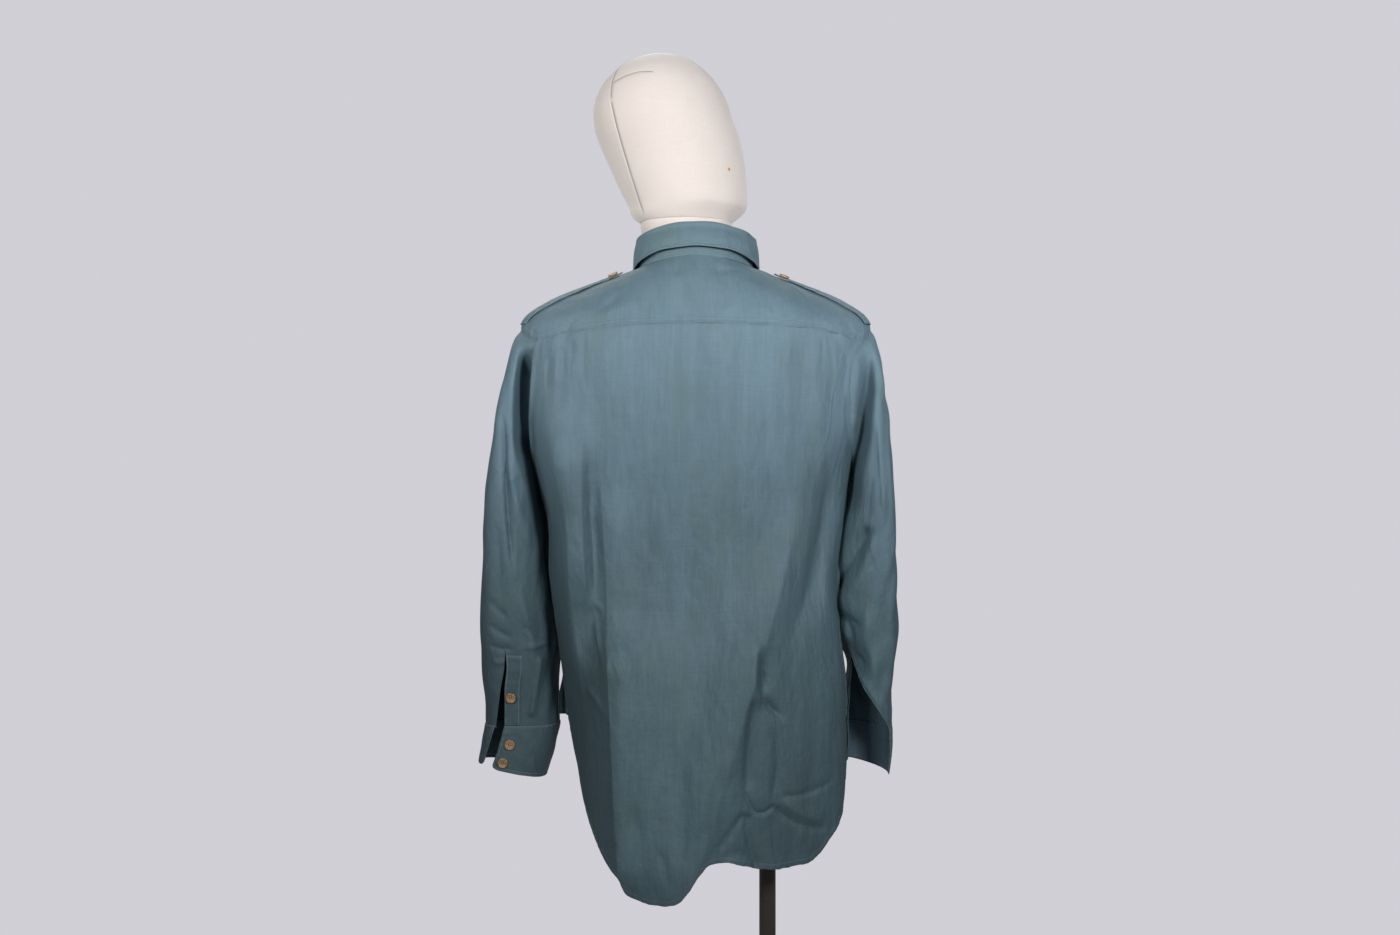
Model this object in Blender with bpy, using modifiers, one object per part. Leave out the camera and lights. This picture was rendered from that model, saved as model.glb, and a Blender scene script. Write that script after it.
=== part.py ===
"""Long-tailed military shirt, cuffs open, hanging on a limbless dress form on a pole.

Metres. +Z up, origin under the centre of the base plate. The shirt's front faces -Y and its
wearer's left is +X. Every cloth surface below is the outer face of the cloth; the wall grows
inward from it.
"""

from math import asin, cos, degrees, pi, radians, sin

import bpy
import numpy as np
from mathutils import Matrix, Vector

# ------------------------------------------------------------------ driving sizes
CLOTH = 0.0012          # wall of the cotton cloth
GAP = 0.0006            # between pieces side by side
ON_TOP = 0.0005         # between a piece and what lies on it
STAND_H = 0.040         # collar stand height at the back
PLACKET_HALF = 0.017
STRAP_HALF = 0.021
BUTTON_R = 0.0070
BUTTON_T = 0.0030
POLE_X, POLE_R = -0.0985, 0.0115
BASE_R, BASE_T = 0.190, 0.010

# Rings of the body from the neck down: half-widths to the wearer's left and right, depth at the
# back, side and front (y), height at the back, side and front (z), squareness (1 is an ellipse).
RING_COLUMNS = ("left", "right", "y_back", "y_side", "y_front", "z_back", "z_side", "z_front",
                "square")
RINGS = (
    # left   right  y_back y_side  y_front  z_back z_side z_front square
    (0.0800, 0.0780, 0.086, 0.010, -0.062, 1.5215, 1.510, 1.446, 1.00),   # 0 neck seam
    (0.1480, 0.1460, 0.103, 0.007, -0.088, 1.4900, 1.482, 1.405, 1.00),   # 1 half shoulder
    (0.2080, 0.2050, 0.112, 0.004, -0.103, 1.4580, 1.456, 1.372, 0.97),   # 2 outer shoulder
    (0.2440, 0.2400, 0.118, 0.002, -0.112, 1.4280, 1.428, 1.345, 0.93),   # 3 yoke seam
    (0.2420, 0.2360, 0.123, 0.000, -0.117, 1.3720, 1.372, 1.310, 0.90),   # 4 shoulder blade
    (0.2350, 0.2260, 0.123, -0.002, -0.120, 1.3050, 1.305, 1.275, 0.88),  # 5 armhole
    (0.2250, 0.2140, 0.119, -0.004, -0.120, 1.2370, 1.237, 1.237, 0.86),  # 6 underarm
    (0.2060, 0.2050, 0.108, -0.004, -0.115, 1.1650, 1.165, 1.165, 0.86),  # 7 ribs
    (0.2030, 0.1960, 0.098, -0.004, -0.108, 1.0900, 1.090, 1.090, 0.86),  # 8 waist
    (0.1930, 0.1960, 0.098, -0.004, -0.106, 1.0100, 1.010, 1.010, 0.86),  # 9 small of the back
    (0.1830, 0.2010, 0.106, -0.004, -0.106, 0.9400, 0.940, 0.940, 0.86),  # 10 hip
    (0.1780, 0.2015, 0.110, -0.004, -0.104, 0.8800, 0.880, 0.880, 0.86),  # 11 side vent
    (0.1740, 0.2090, 0.110, -0.004, -0.100, 0.7900, 0.790, 0.790, 0.86),  # 12 seat
    (0.1700, 0.2100, 0.106, -0.004, -0.100, 0.7100, 0.710, 0.710, 0.86),  # 13 tail
    (0.1680, 0.2040, 0.100, -0.004, -0.100, 0.6300, 0.630, 0.630, 0.86),  # 14 below the hem
)
YOKE_T, UNDERARM_T = 3.0, 6.0
SEAM_T = 3.45            # the yoke seam drops to this ring where it meets the armhole
CREST = 0.0065           # the shoulder line stands up this much along the straps
VENT_Z = 0.890
FRONT_HEM_DROP = 0.020   # front hem below the vent at the centre
CORNER_OUT = 0.011       # left front's lower corner, beyond the back panel

# Back edge of each armhole: ring number and how far out it lies on each side.
ARMHOLE_BACK = (
    # ring   left    right
    (3.45, 0.2120, 0.2240),
    (3.70, 0.2175, 0.2130),
    (4.00, 0.2205, 0.2050),
    (4.50, 0.2240, 0.2020),
    (5.00, 0.2265, 0.2050),
    (5.50, 0.2272, 0.2110),
    (6.00, 0.2250, 0.2140),
)
# Front edge of each armhole, as an angle from the centre back.
ARMHOLE_FRONT = ((3.0, 118.0), (3.5, 125.0), (4.0, 128.0), (4.5, 127.0), (5.0, 121.0),
                 (5.5, 109.0), (6.0, 90.0))

# Back hem: angle from the centre back (+ is the wearer's left) and height.
HEM = (
    (-90.0, 0.890), (-81.0, 0.832), (-70.5, 0.764), (-56.0, 0.728), (-45.0, 0.705),
    (-35.0, 0.700), (-27.0, 0.6975), (-19.3, 0.700), (-13.0, 0.706), (-8.4, 0.711),
    (-4.6, 0.711), (-1.8, 0.706), (1.6, 0.679), (5.7, 0.660), (10.0, 0.655), (14.4, 0.654),
    (20.0, 0.656), (26.0, 0.661), (31.0, 0.668), (34.5, 0.688), (40.2, 0.700), (47.0, 0.722),
    (53.5, 0.750), (60.0, 0.785), (67.0, 0.830), (78.0, 0.868), (90.0, 0.890),
)

# Largest folds: a line of three points (x, z) on the back, half-width to either side of it
# (a is towards +x), and how far it stands out (- is a hollow).
FOLD_COLUMNS = ("x0", "z0", "x1", "z1", "x2", "z2", "wide_a", "wide_b", "out")
FOLDS = (
    # x0     z0     x1     z1     x2     z2    wide_a wide_b  out
    (-0.150, 1.190, -0.098, 1.020, 0.004, 0.690, 0.055, 0.022, 0.020),  # long diagonal ridge
    (-0.182, 1.240, -0.160, 1.110, -0.128, 1.030, 0.022, 0.022, -0.015),  # hollow beside it
    (0.128, 1.140, 0.116, 0.980, 0.103, 0.690, 0.012, 0.040, 0.016),    # upright ridge
    (0.146, 1.300, 0.148, 1.150, 0.143, 0.900, 0.020, 0.018, -0.014),   # hollow beside it
    (-0.072, 0.980, -0.066, 0.900, -0.052, 0.800, 0.016, 0.020, -0.012),
    (-0.108, 0.860, -0.106, 0.800, -0.104, 0.740, 0.016, 0.016, 0.010),  # hanging bag
)

# Sleeve sections from the armhole to the cuff seam. outer and inner are the far and near edges
# (x from the centre line, z), y is the middle and half the depth front to back, curl turns the
# front edge inward, edge_a and edge_b are the angles of the two slit edges (0 back, 90 outer,
# 180 front, 270 or -90 inner).
SLEEVE_COLUMNS = ("outer_x", "outer_z", "inner_x", "inner_z", "y", "half_y", "curl", "edge_a",
                  "edge_b")
LEFT_SLEEVE = (
    # outer_x outer_z inner_x inner_z    y   half_y curl edge_a edge_b
    (0.2530, 1.4160, 0.2300, 1.2320, -0.003, 0.064, 0, 0, -360),
    (0.2620, 1.3800, 0.2310, 1.2160, -0.004, 0.070, 4, 0, -360),
    (0.2700, 1.3230, 0.2310, 1.1950, -0.006, 0.076, 9, 0, -360),
    (0.2745, 1.2620, 0.2255, 1.1700, -0.010, 0.080, 16, 0, -360),
    (0.2795, 1.2080, 0.2170, 1.1450, -0.011, 0.080, 18, 0, -360),
    (0.2840, 1.1600, 0.2135, 1.1180, -0.012, 0.076, 18, 0, -360),
    (0.2880, 1.1120, 0.2080, 1.0850, -0.014, 0.072, 18, 2, -358),
    (0.2930, 1.0620, 0.2040, 1.0480, -0.016, 0.066, 16, 4, -356),
    (0.2980, 1.0180, 0.1975, 1.0100, -0.018, 0.060, 14, 6, -354),
    (0.2985, 0.9870, 0.1950, 0.9820, -0.018, 0.056, 12, 7, -353),
    (0.2980, 0.9600, 0.1950, 0.9560, -0.018, 0.052, 10, 8, -349),
    (0.2975, 0.9300, 0.1960, 0.9280, -0.018, 0.048, 8, 14, -340),
    (0.2960, 0.9000, 0.1950, 0.9000, -0.018, 0.044, 6, 18, -331),
    (0.2960, 0.8780, 0.1940, 0.8780, -0.018, 0.042, 5, 20, -326),
)
LEFT_CUFF = (
    (0.2965, 0.8773, 0.1936, 0.8773, -0.018, 0.0423, 5, 20, -325),
    (0.3020, 0.8450, 0.2020, 0.8390, -0.018, 0.044, 4, 24, -318),
    (0.3060, 0.8230, 0.2125, 0.8030, -0.018, 0.045, 3, 29, -312),
)
RIGHT_SLEEVE = (
    (0.2480, 1.4160, 0.2190, 1.2320, -0.003, 0.064, 0, -20, 340),
    (0.2545, 1.3800, 0.2200, 1.2160, -0.004, 0.070, 4, -30, 330),
    (0.2570, 1.3230, 0.2200, 1.1950, -0.006, 0.076, 9, -40, 320),
    (0.2595, 1.2620, 0.2190, 1.1700, -0.008, 0.080, 13, -48, 312),
    (0.2610, 1.2080, 0.2170, 1.1450, -0.010, 0.080, 16, -55, 305),
    (0.2620, 1.1600, 0.2140, 1.1180, -0.012, 0.076, 18, -60, 300),
    (0.2650, 1.1120, 0.2090, 1.0850, -0.014, 0.072, 18, -65, 295),
    (0.2705, 1.0620, 0.2050, 1.0480, -0.016, 0.066, 16, -70, 290),
    (0.2755, 1.0180, 0.2045, 1.0100, -0.018, 0.060, 14, -75, 285),
    (0.2750, 0.9870, 0.2060, 0.9820, -0.018, 0.056, 12, -78, 282),
    (0.2725, 0.9600, 0.2110, 0.9560, -0.018, 0.053, 10, -64, 281),
    (0.2710, 0.9300, 0.2125, 0.9280, -0.018, 0.050, 8, -32, 282),
    (0.2715, 0.9000, 0.2130, 0.9000, -0.018, 0.047, 6, 8, 283),
    (0.2725, 0.8720, 0.2135, 0.8780, -0.018, 0.045, 5, 44, 284),
)
RIGHT_CUFF = (
    (0.2727, 0.8713, 0.2134, 0.8773, -0.018, 0.0452, 5, 44, 284),
    (0.2720, 0.8380, 0.2135, 0.8480, -0.018, 0.046, 4, 50, 285),
    (0.2690, 0.8060, 0.2130, 0.8230, -0.018, 0.046, 3, 56, 286),
)

# Collar fall: angle, how far its lower edge stands off the neck ring, height of that edge.
FALL = ((0, 0.0085, 1.5335), (35, 0.0095, 1.5290), (65, 0.0110, 1.5190), (90, 0.0110, 1.5105),
        (115, 0.0150, 1.4970), (135, 0.0215, 1.4720), (150, 0.0290, 1.4400), (158, 0.0330, 1.4140))

# Form: torso rings are the body's, this much smaller; then the neck and the head.
TORSO = (
    # ring  ease sides, ease back, ease front
    (3.0, 0.0060, 0.0080, 0.0080),
    (4.0, 0.0160, 0.0200, 0.0140),
    (5.0, 0.0180, 0.0260, 0.0160),
    (6.0, 0.0200, 0.0280, 0.0170),
    (7.0, 0.0240, 0.0300, 0.0200),
    (8.0, 0.0300, 0.0300, 0.0240),
    (9.0, 0.0300, 0.0300, 0.0220),
    (10.0, 0.0260, 0.0300, 0.0200),
    (11.0, 0.0240, 0.0310, 0.0200),
    (12.0, 0.0330, 0.0360, 0.0200),
)
NECK = (
    # z back, z front, x centre, y centre, half-width, half-depth
    (1.5260, 1.4620, 0.0015, 0.0110, 0.0730, 0.0690),
    (1.5380, 1.4950, 0.0050, 0.0110, 0.0680, 0.0640),
    (1.5560, 1.5350, 0.0110, 0.0100, 0.0645, 0.0600),
    (1.5700, 1.5640, 0.0145, 0.0090, 0.0635, 0.0590),
    (1.5750, 1.5750, 0.0148, 0.0088, 0.0630, 0.0585),
)
HEAD = (
    # z, x centre, y centre, half-width, half-depth
    (1.5756, 0.0150, 0.0070, 0.0625, 0.0580),
    (1.5765, 0.0155, 0.0060, 0.0645, 0.0610),
    (1.5830, 0.0160, -0.0030, 0.0725, 0.0740),
    (1.5900, 0.0145, -0.0080, 0.0785, 0.0830),
    (1.6000, 0.0130, -0.0110, 0.0830, 0.0900),
    (1.6200, 0.0180, -0.0120, 0.0880, 0.0950),
    (1.6450, 0.0245, -0.0120, 0.0930, 0.0990),
    (1.6700, 0.0320, -0.0110, 0.0970, 0.1010),
    (1.6950, 0.0400, -0.0090, 0.0995, 0.1020),
    (1.7200, 0.0475, -0.0070, 0.0975, 0.1000),
    (1.7450, 0.0505, -0.0050, 0.0925, 0.0950),
    (1.7680, 0.0512, -0.0030, 0.0805, 0.0850),
    (1.7880, 0.0515, -0.0020, 0.0625, 0.0680),
    (1.8030, 0.0510, -0.0010, 0.0395, 0.0430),
    (1.8105, 0.0500, 0.0000, 0.0140, 0.0150),
)


# ------------------------------------------------------------------ scene and materials
for old in list(bpy.data.objects):
    bpy.data.objects.remove(old, do_unlink=True)
for old in list(bpy.data.collections):
    bpy.data.collections.remove(old)

SHIRT = bpy.data.collections.new("military_shirt_on_form")
bpy.context.scene.collection.children.link(SHIRT)


def material(name, colour, rough, metal=0.0):
    made = bpy.data.materials.new(name)
    made.use_nodes = True
    shader = made.node_tree.nodes["Principled BSDF"]
    shader.inputs["Base Color"].default_value = (*colour, 1.0)
    shader.inputs["Roughness"].default_value = rough
    shader.inputs["Metallic"].default_value = metal
    made.diffuse_color = (*colour, 1.0)
    return made


def cloth_material(name):
    return material(name + "_cloth", (0.115, 0.165, 0.190), 0.75)


# ------------------------------------------------------------------ shapes of the body
def smooth_rows(table, at):
    """Rows of a table at fractional row numbers, along a smooth curve through every row."""
    rows = np.asarray(table, float)
    at = np.clip(np.asarray(at, float), 0, len(rows) - 1)
    i = np.minimum(at.astype(int), len(rows) - 2)
    f = (at - i)[..., None]
    p0 = rows[np.maximum(i - 1, 0)]
    p1, p2 = rows[i], rows[i + 1]
    p3 = rows[np.minimum(i + 2, len(rows) - 1)]
    m1, m2 = (p2 - p0) / 2, (p3 - p1) / 2
    return ((2 * f**3 - 3 * f**2 + 1) * p1 + (f**3 - 2 * f**2 + f) * m1
            + (3 * f**2 - 2 * f**3) * p2 + (f**3 - f**2) * m2)


def ring_surface(angle, ring, shrink=(0.0, 0.0, 0.0)):
    """Point of the body: angle in degrees from the centre back, ring number down from the neck.

    x = half-width sin^square, y = side + (depth - side) cos^square; the height passes from the
    side to the back or front with cos squared. shrink takes (sides, back, front) off the sizes.
    """
    angle, ring = np.broadcast_arrays(np.asarray(angle, float), np.asarray(ring, float))
    row = smooth_rows(RINGS, ring)
    left, right, y_back, y_side, y_front, z_back, z_side, z_front, square = np.moveaxis(row, -1, 0)
    s, c = np.sin(np.radians(angle)), np.cos(np.radians(angle))
    half = np.where(s >= 0, left, right) - shrink[0]
    x = half * np.sign(s) * np.abs(s) ** square
    depth = np.where(c >= 0, y_back - shrink[1], y_front + shrink[2])
    y = y_side + (depth - y_side) * np.abs(c) ** square
    z = z_side + (np.where(c >= 0, z_back, z_front) - z_side) * c**2
    off_side = (90.0 - np.degrees(np.arccos(np.clip(np.abs(c), 0, 1)))) / 22.0
    z = z + CREST * np.sin(pi * np.clip(ring / 3.6, 0, 1)) * np.exp(-off_side**2)
    return np.stack([x, y, z], -1)


def fold_height(x, z, table):
    """Sum of the folds: each is its height times a bell of the distance from its line."""
    total = np.zeros_like(x)
    for x0, z0, x1, z1, x2, z2, wide_a, wide_b, out in table:
        best = np.full(x.shape, 1e9)
        side = np.zeros_like(x)
        for ax, az, bx, bz in ((x0, z0, x1, z1), (x1, z1, x2, z2)):
            length = (bx - ax) ** 2 + (bz - az) ** 2
            f = np.clip(((x - ax) * (bx - ax) + (z - az) * (bz - az)) / length, 0, 1)
            dx, dz = x - (ax + f * (bx - ax)), z - (az + f * (bz - az))
            far = np.hypot(dx, dz)
            side = np.where(far < best, dx, side)
            best = np.minimum(best, far)
        wide = np.where(side > 0, wide_a, wide_b)
        total += out * np.exp(-((best / wide) ** 2))
    return total


def body(angle, ring, lift=0.0):
    """The cloth's outer face with its folds, moved out by lift."""
    def folded(a, r):
        p = ring_surface(a, r)
        back = np.cos(np.radians(a)) > 0
        out = np.where(back, fold_height(p[..., 0], p[..., 2], FOLDS), 0.0)
        out = out * np.clip(np.abs(np.cos(np.radians(a))) * 1.8, 0, 1)
        p[..., 1] += out
        return p
    angle, ring = np.broadcast_arrays(np.asarray(angle, float), np.asarray(ring, float))
    p = folded(angle, ring)
    if not np.any(lift):
        return p
    d_angle = folded(angle + 0.5, ring) - folded(angle - 0.5, ring)
    d_ring = folded(angle, np.minimum(ring + 0.02, 14)) - folded(angle, np.maximum(ring - 0.02, 0))
    n = np.cross(d_angle, d_ring)
    n /= np.linalg.norm(n, axis=-1, keepdims=True)
    return p + n * np.asarray(lift)[..., None]


def ring_at_height(z):
    """Ring number of a level below the underarm."""
    heights = np.array([row[6] for row in RINGS])
    t = np.interp(-np.asarray(z, float), -heights[6:], np.arange(6, len(RINGS)))
    for _ in range(8):
        t = t + (smooth_rows(RINGS, t)[..., 6] - z) / 0.08
    return t


def angle_at_width(ring, x, side):
    row = smooth_rows(RINGS, ring)
    half = row[0] if side > 0 else row[1]
    return degrees(asin(min(1.0, (x / half)) ** (1 / row[8])))


def armhole_back(ring, side):
    """Angle of the armhole's back edge (or of the side seam below the underarm)."""
    if ring >= UNDERARM_T:
        return 90.0
    table = np.array(ARMHOLE_BACK)
    x = np.interp(ring, table[:, 0], table[:, 1 if side > 0 else 2])
    edge = angle_at_width(ring, x, side)
    blend = max(0.0, (ring - 5.5) / 0.5)
    return edge + (90.0 - edge) * blend**2


def armhole_front(ring):
    table = np.array(ARMHOLE_FRONT)
    return float(np.interp(ring, table[:, 0], table[:, 1])) if ring < UNDERARM_T else 90.0


# ------------------------------------------------------------------ making solids
def add_mesh(name, points, faces, made):
    mesh = bpy.data.meshes.new(name)
    mesh.from_pydata([tuple(p) for p in points], [], faces)
    mesh.materials.append(made)
    obj = bpy.data.objects.new(name, mesh)
    SHIRT.objects.link(obj)
    return obj


def outward(points, faces):
    """The faces of a closed solid, turned to face out."""
    p = np.asarray(points)
    volume = sum(np.dot(p[f[0]], np.cross(p[f[k]], p[f[k + 1]])) for f in faces
                 for k in range(1, len(f) - 1))
    return faces if volume > 0 else [tuple(reversed(f)) for f in faces]


def sheet(name, grid, made, thick=CLOTH, closed_rows=0, core=None):
    """A cloth wall from a grid of rows of points; the first closed_rows rows close on themselves.

    The grid is the outer face. Faces are turned away from core, or from each row's middle.
    """
    grid = np.asarray(grid)
    rows, cols = grid.shape[:2]
    number = np.zeros((rows, cols), int)
    points = []
    for i in range(rows):
        for j in range(cols):
            if i < closed_rows and j == cols - 1:
                number[i, j] = number[i, 0]
            else:
                number[i, j] = len(points)
                points.append(grid[i, j])
    faces = [(number[i, j], number[i, j + 1], number[i + 1, j + 1], number[i + 1, j])
             for i in range(rows - 1) for j in range(cols - 1)]
    middle = grid.mean(axis=1, keepdims=True) if core is None else np.asarray(core)
    d_row, d_col = grid[1:, :-1] - grid[:-1, :-1], grid[:-1, 1:] - grid[:-1, :-1]
    away = (grid - middle)[:-1, :-1]
    if np.sum(np.cross(d_col, d_row) * away) < 0:
        faces = [tuple(reversed(f)) for f in faces]
    obj = add_mesh(name, points, faces, made)
    wall = obj.modifiers.new("wall", "SOLIDIFY")
    wall.thickness = thick
    wall.offset = -1.0
    return obj


def closed_loft(name, rings, made):
    """A solid through closed rings of points, capped at both ends with a fan."""
    rings = np.asarray(rings)
    count, around = rings.shape[:2]
    points = [tuple(p) for ring in rings for p in ring]
    faces = []
    for i in range(count - 1):
        for j in range(around):
            k = (j + 1) % around
            faces.append((i * around + j, i * around + k, (i + 1) * around + k, (i + 1) * around + j))
    for ring, flip in ((0, True), (count - 1, False)):
        middle = len(points)
        points.append(tuple(rings[ring].mean(axis=0)))
        for j in range(around):
            a, b = ring * around + j, ring * around + (j + 1) % around
            faces.append((b, a, middle) if flip else (a, b, middle))
    return add_mesh(name, points, outward(points, faces), made)


def turned(name, profile, made, centre, axis, around=16):
    """A turned solid: profile of (radius, height) spun about axis at centre."""
    mesh = bpy.data.meshes.new(name)
    mesh.from_pydata([(r, 0.0, h) for r, h in profile], [(i, i + 1) for i in range(len(profile) - 1)],
                     [])
    mesh.materials.append(made)
    obj = bpy.data.objects.new(name, mesh)
    SHIRT.objects.link(obj)
    spin = obj.modifiers.new("spin", "SCREW")
    spin.steps = spin.render_steps = around
    spin.use_merge_vertices = True
    spin.merge_threshold = 0.00001
    turn = Vector((0, 0, 1)).rotation_difference(Vector(axis)).to_matrix().to_4x4()
    obj.matrix_world = Matrix.Translation(Vector(centre)) @ turn
    return obj


# ------------------------------------------------------------------ columns and rows shared by
# neighbouring pieces, so that their edges match
BACK_ANGLES = np.array([a for a, _ in HEM])
HEM_Z = np.array([z for _, z in HEM])
TOP_ROWS, LOW_ROWS = 6, 18
ARM_RINGS = np.linspace(YOKE_T, UNDERARM_T, TOP_ROWS + 1)      # of the fronts
BACK_ARM_RINGS = np.linspace(SEAM_T, UNDERARM_T, TOP_ROWS + 1)
LOW = np.linspace(0, 1, LOW_ROWS + 1)[1:]


def seam_ring(angle, side_edge):
    """Ring of the yoke's lower edge: dropping outward to the armhole, then up to the shoulder."""
    far = np.abs(angle)
    back = YOKE_T + (SEAM_T - YOKE_T) * (far / side_edge) ** 2
    up = SEAM_T + (YOKE_T - SEAM_T) * np.clip((far - side_edge) / (90.0 - side_edge), 0, 1)
    return np.where(far <= side_edge, back, up)


def back_grid():
    u = BACK_ANGLES / 90.0
    rows = []
    seam = degrees(GAP / 2 / 0.22)
    for k, ring in enumerate(BACK_ARM_RINGS):
        edge = np.where(u >= 0, armhole_back(ring, 1), armhole_back(ring, -1))
        top = YOKE_T + (SEAM_T - YOKE_T) * u**2 + 0.010
        at = top + (UNDERARM_T - top) * k / TOP_ROWS
        rows.append(body(u * (edge - seam), at))
    hem_ring = ring_at_height(HEM_Z)
    for f in LOW:
        ring = UNDERARM_T + f * (hem_ring - UNDERARM_T)
        rows.append(body(u * (90.0 - seam), ring))
    return np.array(rows)


def yoke_angles():
    """Columns of the yoke: over the right shoulder, across the back, over the left shoulder."""
    seam_l, seam_r = armhole_back(SEAM_T, 1), armhole_back(SEAM_T, -1)
    across = BACK_ANGLES / 90.0
    across = np.where(across >= 0, across * seam_l, across * seam_r)
    front = armhole_front(YOKE_T)
    right = np.linspace(-front, -seam_r, 6)[:-1]
    left = np.linspace(seam_l, front, 7)[1:]
    return np.concatenate([right, across, left])


YOKE_RINGS = np.array([0.0, 0.6, 1.3, 2.0, 2.6, YOKE_T])


def yoke_row(angles, ring, lift=0.0):
    """A row of the yoke, from the neck (0) to its lower edge (3), which follows the seam."""
    edge = np.where(angles > 0, armhole_back(SEAM_T, 1), armhole_back(SEAM_T, -1))
    drop = np.where(np.abs(angles) < 90, seam_ring(angles, edge) / YOKE_T, 1.0)
    at = ring * (1 + (drop - 1) * (ring / YOKE_T) ** 2)
    return body(angles, at - (0.012 if ring == YOKE_T else 0.0), lift)


def yoke_grid():
    return np.array([yoke_row(yoke_angles(), ring) for ring in YOKE_RINGS])


SHOULDER_SEAM = tuple(YOKE_RINGS[::-1])      # columns of the front along the shoulder seam
NECK_COLUMNS = 4


def front_grid(side):
    """A front: the top row runs up the shoulder seam and round the neck, the others fan down."""
    half = [smooth_rows(RINGS, t)[0] for t in SHOULDER_SEAM]
    edge = armhole_front(YOKE_T)
    top = [(edge + degrees(0.0010 / h), t) for t, h in zip(SHOULDER_SEAM, half)]
    top[-1] = (top[-1][0] + 0.3, 0.0)
    top += [(edge + (180 - edge) * k / NECK_COLUMNS, 0.0) for k in range(1, NECK_COLUMNS + 1)]
    top[0] = (edge, YOKE_T + 0.008)
    top = np.array(top)
    columns = len(top) - 1
    low = np.array([(90 + 90 * k / columns, UNDERARM_T) for k in range(columns + 1)])
    grid = []
    u = np.linspace(0, 1, columns + 1)[:, None]
    for ring in ARM_RINGS:
        v = (ring - YOKE_T) / (UNDERARM_T - YOKE_T)
        left = np.array([armhole_front(ring) if v else edge, ring + (0.008 if v == 0 else 0)])
        right = np.array([180.0, UNDERARM_T * v])
        corner = ((1 - u) * ((1 - v) * top[0] + v * low[0]) + u * ((1 - v) * top[-1] + v * low[-1]))
        row = (1 - v) * top + v * low + (1 - u) * left + u * right - corner
        grid.append(row)
    for f in LOW:
        drop = FRONT_HEM_DROP * np.sin(np.linspace(0, pi / 2, columns + 1))
        hem_ring = ring_at_height(VENT_Z - drop)
        grid.append(np.stack([low[:, 0], UNDERARM_T + f * (hem_ring - UNDERARM_T)], -1))
    grid = np.array(grid)
    # leave a seam's gap at the side and at the centre line
    side_gap = np.degrees(0.0004 / smooth_rows(RINGS, grid[:, 0, 1])[:, 0])
    grid[:, 0, 0] += side_gap
    for k, (_, ring) in enumerate(grid[:, -1]):
        grid[k, -1, 0] = 180.0 - angle_at_width(ring, 0.0004, 1)
    return grid


def armhole_loop(side, alphas):
    """Points of the armhole at sleeve angles: 90 is the shoulder, 0 the back, -90 the underarm."""
    edge = armhole_back(SEAM_T, side)
    back = [(a, float(seam_ring(a, edge))) for a in np.linspace(90, edge, 12)]
    back += [(armhole_back(t, side), t) for t in np.linspace(SEAM_T, UNDERARM_T, 40)[1:]]
    front = [(a, YOKE_T) for a in np.linspace(90, armhole_front(YOKE_T), 12)]
    front += [(armhole_front(t), t) for t in np.linspace(YOKE_T, UNDERARM_T, 40)[1:]]
    found = []
    for path in (np.array(back), np.array(front)):
        p = body(side * path[:, 0], path[:, 1])
        run = np.concatenate([[0], np.cumsum(np.linalg.norm(np.diff(p, axis=0), axis=1))])
        found.append((p, run / run[-1]))
    out = []
    for alpha in alphas:
        turn = (alpha + 90) % 360 - 90
        which, f = (0, (90 - turn) / 180) if turn <= 90 else (1, (turn - 90) / 180)
        p, run = found[which]
        out.append([np.interp(f, run, p[:, k]) for k in range(3)])
    return np.array(out)


SLEEVE_COLUMNS_AROUND = 20


def section_point(table, side, v, alpha, lift=0.0):
    """Point of a sleeve or cuff at fractional row v: an ellipse through the outer and inner edge.

    Middle + half the outer-inner vector times sin alpha + half depth times cos alpha, the
    second leaning by curl so that the front goes toward the body.
    """
    row = smooth_rows(table, v)
    outer_x, outer_z, inner_x, inner_z, y, half_y, curl = np.moveaxis(row, -1, 0)[:7]
    a = np.radians(alpha)
    s, c = np.sin(a), np.cos(a)
    long_x, long_z = (outer_x - inner_x) / 2, (outer_z - inner_z) / 2
    grow = 1 + lift / np.hypot(np.hypot(long_x, long_z) * s, half_y * c)
    x = (outer_x + inner_x) / 2 + (long_x * s + np.sin(np.radians(curl)) * half_y * c) * grow
    z = (outer_z + inner_z) / 2 + long_z * s * grow
    y = y + np.cos(np.radians(curl)) * half_y * c * grow
    return np.stack([side * x, y, z], -1)


def sleeve_grid(table, side, armhole=True, columns=SLEEVE_COLUMNS_AROUND):
    j = np.linspace(0, 1, columns + 1)
    rows = []
    if armhole:
        edge_a, edge_b = table[0][7:9]
        loop = armhole_loop(side, edge_a + (edge_b - edge_a) * j)
        loop[:, 0] += side * (0.0016 if side > 0 else 0.0019)
        rows.append(loop)
    for v, row in enumerate(table):
        alpha = row[7] + (row[8] - row[7]) * j
        rows.append(section_point(table, side, float(v), alpha))
    return np.array(rows)


# ------------------------------------------------------------------ back, yoke and fronts
CORE = (0.0, 0.0, 1.30)
back = back_grid()
sheet("back_panel", back, cloth_material("back"),
      core=np.stack([0 * back[..., 0], 0 * back[..., 0], back[..., 2]], -1))

sheet("yoke", yoke_grid(), cloth_material("yoke"), core=(0, 0, 1.35))

for side, word in ((1, "left"), (-1, "right")):
    at = front_grid(side)
    front = body(side * at[..., 0], at[..., 1])
    if side > 0:      # the lower corner stands out beyond the back panel's edge
        near = np.clip(1 - np.arange(front.shape[1]) / 3.0, 0, 1) ** 1.5
        front[..., 0] += CORNER_OUT * np.clip((0.955 - front[..., 2]) / 0.05, 0, 1) * near
    sheet("front_" + word, front, cloth_material("front_" + word),
          core=np.stack([0 * front[..., 0], 0 * front[..., 0], front[..., 2] - 0.02], -1))

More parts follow.
